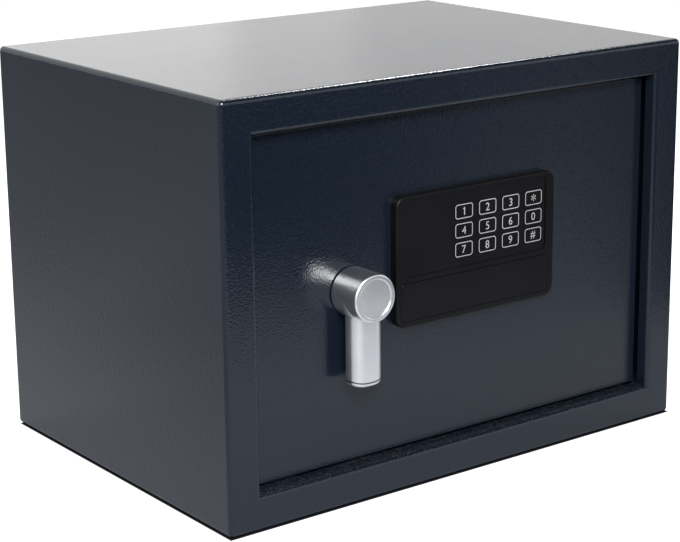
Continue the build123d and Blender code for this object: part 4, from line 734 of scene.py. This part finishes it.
def bead_tree(material):
    """Overlapping drops of weld along each edge of a wire mesh."""
    tree, given, result = new_geometry_tree("weld_bead", {"Step": 0.0012, "Bead radius": 0.0013})
    path = tree.nodes.new("GeometryNodeMeshToCurve")
    link(tree, given["Geometry"], path.inputs[0])
    points = node(tree, "GeometryNodeCurveToPoints", mode="LENGTH")
    link(tree, path.outputs[0], points.inputs["Curve"])
    link(tree, given["Step"], points.inputs["Length"])
    drop = node(tree, "GeometryNodeMeshIcoSphere", in_Subdivisions=2)
    link(tree, given["Bead radius"], drop.inputs["Radius"])
    smooth = tree.nodes.new("GeometryNodeSetShadeSmooth")
    link(tree, drop.outputs[0], smooth.inputs[0])
    size = node(tree, "FunctionNodeRandomValue", data_type="FLOAT_VECTOR", in_Seed=BEAD_SEED)
    size.inputs["Min"].default_value = (BEAD_SMALLEST,) * 3
    size.inputs["Max"].default_value = (BEAD_LARGEST,) * 3
    place = tree.nodes.new("GeometryNodeInstanceOnPoints")
    link(tree, points.outputs["Points"], place.inputs["Points"])
    link(tree, smooth.outputs[0], place.inputs["Instance"])
    link(tree, points.outputs["Rotation"], place.inputs["Rotation"])
    link(tree, size.outputs["Value"], place.inputs["Scale"])
    end_tree(tree, place.outputs[0], result, material)
    return tree


def grow(name, tree, values, vertices, edges=(), turns=None):
    """Runs a geometry tree over a small helper mesh and keeps the result as a plain mesh."""
    seed = bpy.data.meshes.new(name + "_path")
    seed.from_pydata(vertices, edges, [])
    if turns is not None:
        attribute = seed.attributes.new("turn", "FLOAT_VECTOR", "POINT")
        for item, turn in zip(attribute.data, turns):
            item.vector = turn
    piece = bpy.data.objects.new(name, seed)
    bpy.context.scene.collection.objects.link(piece)
    modifier = piece.modifiers.new("grow", "NODES")
    modifier.node_group = tree
    sockets = {s.name: s.identifier for s in tree.interface.items_tree if s.in_out == "INPUT"}
    for label, value in values.items():
        modifier[sockets[label]] = value
    bpy.context.view_layer.update()
    evaluated = piece.evaluated_get(bpy.context.evaluated_depsgraph_get())
    mesh = bpy.data.meshes.new_from_object(evaluated)
    mesh.name = name
    piece.modifiers.remove(modifier)
    piece.data = mesh
    bpy.data.meshes.remove(seed)
    return piece


def wind_plunger_spring(materials):
    """The plunger's coil spring, wound to fill the spring part's box and carried by the door."""
    low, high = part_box("plunger_spring")
    radius = (high.x - low.x) / 2 - SPRING_WIRE
    foot = ((low.x + high.x) / 2, (low.y + high.y) / 2, low.z + SPRING_WIRE)
    sizes = {
        "Turns": SPRING_TURNS,
        "Foot radius": radius,
        "Tip radius": radius,
        "Length": high.z - low.z - 2 * SPRING_WIRE,
        "Wire radius": SPRING_WIRE,
    }
    tree = helix_tree(materials["bare_steel"])
    spring = grow("plunger_spring_wire", tree, sizes, [foot], turns=[(0, 0, 0)])
    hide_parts("plunger_spring")
    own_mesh(spring)
    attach(spring, "door")


def wind_coil(materials):
    """The coil's outer layer of wire, between its flanges."""
    low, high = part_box("solenoid_coil")
    radius = (high.x - low.x) / 2 - COIL_BELOW_FLANGE + COIL_WIRE_PROUD * COIL_WIRE
    foot = ((low.x + high.x) / 2, (low.y + high.y) / 2, low.z + COIL_FLANGE + COIL_WIRE)
    sizes = {
        "Turns": COIL_TURNS,
        "Foot radius": radius,
        "Tip radius": radius,
        "Length": high.z - low.z - 2 * (COIL_FLANGE + COIL_WIRE),
        "Wire radius": COIL_WIRE,
    }
    winding = grow("coil_winding", helix_tree(materials["copper_wire"]), sizes, [foot], turns=[(0, 0, 0)])
    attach(winding, "door")


def cell_rows(low):
    """The heights of the four cells, from the battery contacts' own box."""
    return [low.z + CONTACT_HALF + row * CELL_PITCH for row in range(CELL_COUNT)]


def add_turned(bm, x, y, z, profile, sides=32):
    """A closed body turned round an axis along X, from (distance along X, radius) pairs."""
    rings = []
    for along, radius in profile:
        ring = []
        for i in range(sides):
            angle = 2 * math.pi * i / sides
            across = y + radius * math.cos(angle)
            ring.append(bm.verts.new((x + along, across, z + radius * math.sin(angle))))
        rings.append(ring)
    for ring, following in zip(rings, rings[1:]):
        join_rings(bm, ring, following)
    bm.faces.new(rings[0][::-1])
    bm.faces.new(rings[-1])


def add_tab(bm, x0, x1, y, z):
    """A sheet tab with round corners, square to X."""
    outline = corner_points(y, z, CONTACT_HALF, CONTACT_HALF, CONTACT_CORNER)
    rings = [[bm.verts.new((x, a, b)) for a, b in outline] for x in (x0, x1)]
    join_rings(bm, *rings)
    bm.faces.new(rings[0][::-1])
    bm.faces.new(rings[1])


def make_cell_contacts(materials):
    """Sheet tabs, each with a pressed button for a nib or a coil spring for a cell's foot."""
    low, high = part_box("battery_contacts")
    y = (low.y + high.y) / 2
    bm = bmesh.new()
    points = []
    turns = []
    for row, z in enumerate(cell_rows(low)):
        for left in (True, False):
            face_x = low.x if left else high.x
            inward = 1 if left else -1
            inside_x = face_x + inward * CONTACT_SHEET
            add_tab(bm, *sorted((face_x, inside_x)), y, z)
            nib_here = (row % 2 == 0) != left
            if nib_here:
                length = inward * (CONTACT_REACH - CONTACT_SHEET)
                radius = CONTACT_BUTTON_RADIUS
                profile = [(along * length, size * radius) for along, size in CONTACT_BUTTON_PROFILE]
                add_turned(bm, inside_x, y, z, profile)
            else:
                points.append((inside_x + inward * CONTACT_WIRE, y, z))
                turns.append((0, inward * math.pi / 2, 0))
    tabs = finish_mesh("contact_tabs", bm, materials["bare_steel"])
    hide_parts("battery_contacts")
    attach(tabs, "door")
    sizes = {
        "Turns": CONTACT_TURNS,
        "Foot radius": CONTACT_FOOT_RADIUS - CONTACT_WIRE,
        "Tip radius": CONTACT_TIP_RADIUS,
        "Length": CONTACT_REACH - CONTACT_SHEET - 2 * CONTACT_WIRE,
        "Wire radius": CONTACT_WIRE,
    }
    tree = helix_tree(materials["bare_steel"])
    springs = grow("contact_springs", tree, sizes, points, turns=turns)
    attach(springs, "door")


def lay_weld_beads(materials):
    """A bead of weld along both sides of each hinge block, on the back of the door."""
    tree = bead_tree(materials["cabinet_paint"])
    sizes = {"Step": BEAD_STEP, "Bead radius": BEAD_RADIUS}
    blocks_low, blocks_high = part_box("hinge_blocks")
    back_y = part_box("door_panel")[1].y
    lower = (blocks_low.z, blocks_low.z + HINGE_BLOCK_LENGTH)
    upper = (blocks_high.z - HINGE_BLOCK_LENGTH, blocks_high.z)
    vertices = []
    edges = []
    for x in (blocks_low.x, blocks_high.x):
        for foot_z, top_z in (lower, upper):
            edges.append((len(vertices), len(vertices) + 1))
            vertices.append((x, back_y, foot_z + 2 * BEAD_RADIUS))
            vertices.append((x, back_y, top_z - 2 * BEAD_RADIUS))
    beads = grow("hinge_block_welds", tree, sizes, vertices, edges)
    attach(beads, "door")


# Studio


def area_light(name, place, size, power):
    lamp = bpy.data.lights.new(name, "AREA")
    lamp.shape = "RECTANGLE"
    lamp.size, lamp.size_y = size
    lamp.energy = power
    thing = bpy.data.objects.new(name, lamp)
    thing.location = place
    aim = Vector(LIGHT_TARGET) - Vector(place)
    thing.rotation_euler = aim.to_track_quat("-Z", "Y").to_euler()
    thing.visible_camera = False
    bpy.context.scene.collection.objects.link(thing)


def glowing_cloth(tree, mask, colours, glow_colour, glow_strength):
    """A matt surface that also glows, both by a mask."""
    matt = tree.nodes.new("ShaderNodeBsdfDiffuse")
    two_colours(tree, mask, colours, matt, "Color")
    glow = node(tree, "ShaderNodeEmission", in_Color=(*glow_colour, 1))
    link(tree, math_node(tree, "MULTIPLY", mask, glow_strength), glow.inputs["Strength"])
    both = tree.nodes.new("ShaderNodeAddShader")
    link(tree, matt.outputs[0], both.inputs[0])
    link(tree, glow.outputs[0], both.inputs[1])
    return both.outputs[0]


def table_mask(tree, place, axes):
    """Where reflections see a pale table: a round top, dimmer to the left, and a diagonal band."""
    reach = node(tree, "ShaderNodeVectorMath", operation="DISTANCE")
    link(tree, place, reach.inputs[0])
    reach.inputs[1].default_value = (*TABLE_CENTRE, 0.0)
    edge = (TABLE_RADIUS - TABLE_FADE, TABLE_RADIUS + TABLE_FADE)
    table = spread(tree, reach.outputs["Value"], *edge, 1.0, 0.0)
    left_share = spread(tree, axes["X"], *TABLE_LEFT_FADE, TABLE_LEFT_SHARE, 1.0)
    table = math_node(tree, "MULTIPLY", table, left_share)
    diagonal = node(tree, "ShaderNodeVectorMath", operation="DOT_PRODUCT")
    link(tree, place, diagonal.inputs[0])
    diagonal.inputs[1].default_value = (1.0, 1.0, 0.0)
    rise = spread(tree, diagonal.outputs["Value"], *SIDE_BAND_RISE, 0.0, SIDE_BAND_SHARE)
    fall = spread(tree, diagonal.outputs["Value"], *SIDE_BAND_FALL, 1.0, 0.0)
    return math_node(tree, "MAXIMUM", table, math_node(tree, "MULTIPLY", rise, fall))


def contact_mask(tree, axes, footprint):
    """Painted contact shadow: dark under the object's footprint and pale beyond it."""
    outside = [math_node(tree, "ABSOLUTE", axes[axis]) for axis in "XY"]
    outside = [math_node(tree, "SUBTRACT", value, half) for value, half in zip(outside, footprint)]
    return spread(tree, math_node(tree, "MAXIMUM", *outside), *CONTACT_SHADE)


def make_floor(footprint):
    """White to the camera but for the object's shadow, partly rendered and partly a painted contact shadow
    under its footprint; to reflections a pale table in a dark room.
    """
    bm = bmesh.new()
    bmesh.ops.create_circle(bm, cap_ends=True, segments=96, radius=FLOOR_RADIUS)
    material, tree, output = empty_material("pale_floor")
    place = object_place(tree)
    split = tree.nodes.new("ShaderNodeSeparateXYZ")
    link(tree, place, split.inputs[0])
    contact = contact_mask(tree, split.outputs, footprint)
    # the painted contact shadow also darkens the table that reflections see
    pale = math_node(tree, "MULTIPLY", table_mask(tree, place, split.outputs), contact)
    reflected = glowing_cloth(tree, pale, TABLE_COLOURS, TABLE_GLOW_COLOUR, TABLE_GLOW)
    seen = glowing_cloth(tree, contact, FLOOR_COLOURS, (1.0, 1.0, 1.0), FLOOR_GLOW)
    rays = tree.nodes.new("ShaderNodeLightPath")
    pick = tree.nodes.new("ShaderNodeMixShader")
    link(tree, rays.outputs["Is Camera Ray"], pick.inputs[0])
    link(tree, reflected, pick.inputs[1])
    link(tree, seen, pick.inputs[2])
    link(tree, pick.outputs[0], output.inputs[0])
    floor = finish_mesh("floor", bm, material)
    floor.location.z = -FLOOR_DROP


def make_ceiling():
    """A black cloth overhead, so that folds that face up and forwards stay dark."""
    bm = bmesh.new()
    bmesh.ops.create_grid(bm, x_segments=1, y_segments=1, size=0.5)
    bmesh.ops.scale(bm, vec=(*CEILING_SIZE, 1.0), verts=bm.verts)
    material = bpy.data.materials.new("black_cloth")
    material.use_nodes = True
    shader = material.node_tree.nodes["Principled BSDF"]
    shader.inputs["Base Color"].default_value = (*CEILING_COLOUR, 1)
    shader.inputs["Roughness"].default_value = 1.0
    cloth = finish_mesh("ceiling_cloth", bm, material)
    cloth.location = CEILING_PLACE
    cloth.visible_camera = False


def make_world():
    """White to the camera and in reflections, and a dimmer white light on everything else."""
    world = bpy.data.worlds.new("studio")
    bpy.context.scene.world = world
    world.use_nodes = True
    tree = world.node_tree
    tree.nodes.clear()
    output = tree.nodes.new("ShaderNodeOutputWorld")
    rays = tree.nodes.new("ShaderNodeLightPath")
    seen = node(tree, "ShaderNodeBackground", in_Color=(1, 1, 1, 1), in_Strength=1.0)
    room = node(tree, "ShaderNodeBackground", in_Color=(1, 1, 1, 1), in_Strength=ROOM_LIGHT)
    pick = tree.nodes.new("ShaderNodeMixShader")
    shown = math_node(tree, "MAXIMUM", rays.outputs["Is Camera Ray"], rays.outputs["Is Transmission Ray"])
    shown = math_node(tree, "MAXIMUM", shown, rays.outputs["Is Glossy Ray"])
    link(tree, shown, pick.inputs[0])
    link(tree, room.outputs[0], pick.inputs[1])
    link(tree, seen.outputs[0], pick.inputs[2])
    link(tree, pick.outputs[0], output.inputs[0])


def make_camera():
    data = bpy.data.cameras.new("photo_camera")
    data.lens = CAMERA_LENS
    data.sensor_width = CAMERA_SENSOR
    data.shift_x, data.shift_y = CAMERA_SHIFT
    data.clip_start, data.clip_end = CAMERA_CLIP
    thing = bpy.data.objects.new("photo_camera", data)
    heading = Matrix.Rotation(math.radians(-CAMERA_HEADING), 4, "Z")
    pitch = Matrix.Rotation(math.radians(90 + CAMERA_PITCH), 4, "X")
    roll = Matrix.Rotation(math.radians(CAMERA_ROLL), 4, "Z")
    thing.matrix_world = Matrix.Translation(CAMERA_PLACE) @ heading @ pitch @ roll
    bpy.context.scene.collection.objects.link(thing)
    bpy.context.scene.camera = thing


def make_lights():
    for name, place, size, radiance in SOFTBOXES:
        width, height = size
        area_light(name, place, size, radiance * math.pi * width * height)


# The scene


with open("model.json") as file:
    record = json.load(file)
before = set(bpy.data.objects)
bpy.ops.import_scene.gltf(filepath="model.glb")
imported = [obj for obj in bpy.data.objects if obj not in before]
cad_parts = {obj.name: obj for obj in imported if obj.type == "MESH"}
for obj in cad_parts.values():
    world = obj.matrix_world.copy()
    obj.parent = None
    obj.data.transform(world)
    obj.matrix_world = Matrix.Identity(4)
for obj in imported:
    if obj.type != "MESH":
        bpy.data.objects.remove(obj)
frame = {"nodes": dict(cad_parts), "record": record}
cad_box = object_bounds()
bpy.context.scene.view_settings.view_transform = "Standard"
make_camera()
make_lights()
make_world()
make_floor((cad_box[1].x, cad_box[1].y))
make_ceiling()

materials = make_materials()
for entry in frame["record"]["subparts"]:
    thing = frame["nodes"][entry["node"]]
    thing.data.materials.clear()
    finish = OWN_FINISHES.get(entry["node"], entry["material_slot"])
    thing.data.materials.append(materials[finish])

print_keys(materials)
wind_plunger_spring(materials)
wind_coil(materials)
make_cell_contacts(materials)
lay_weld_beads(materials)
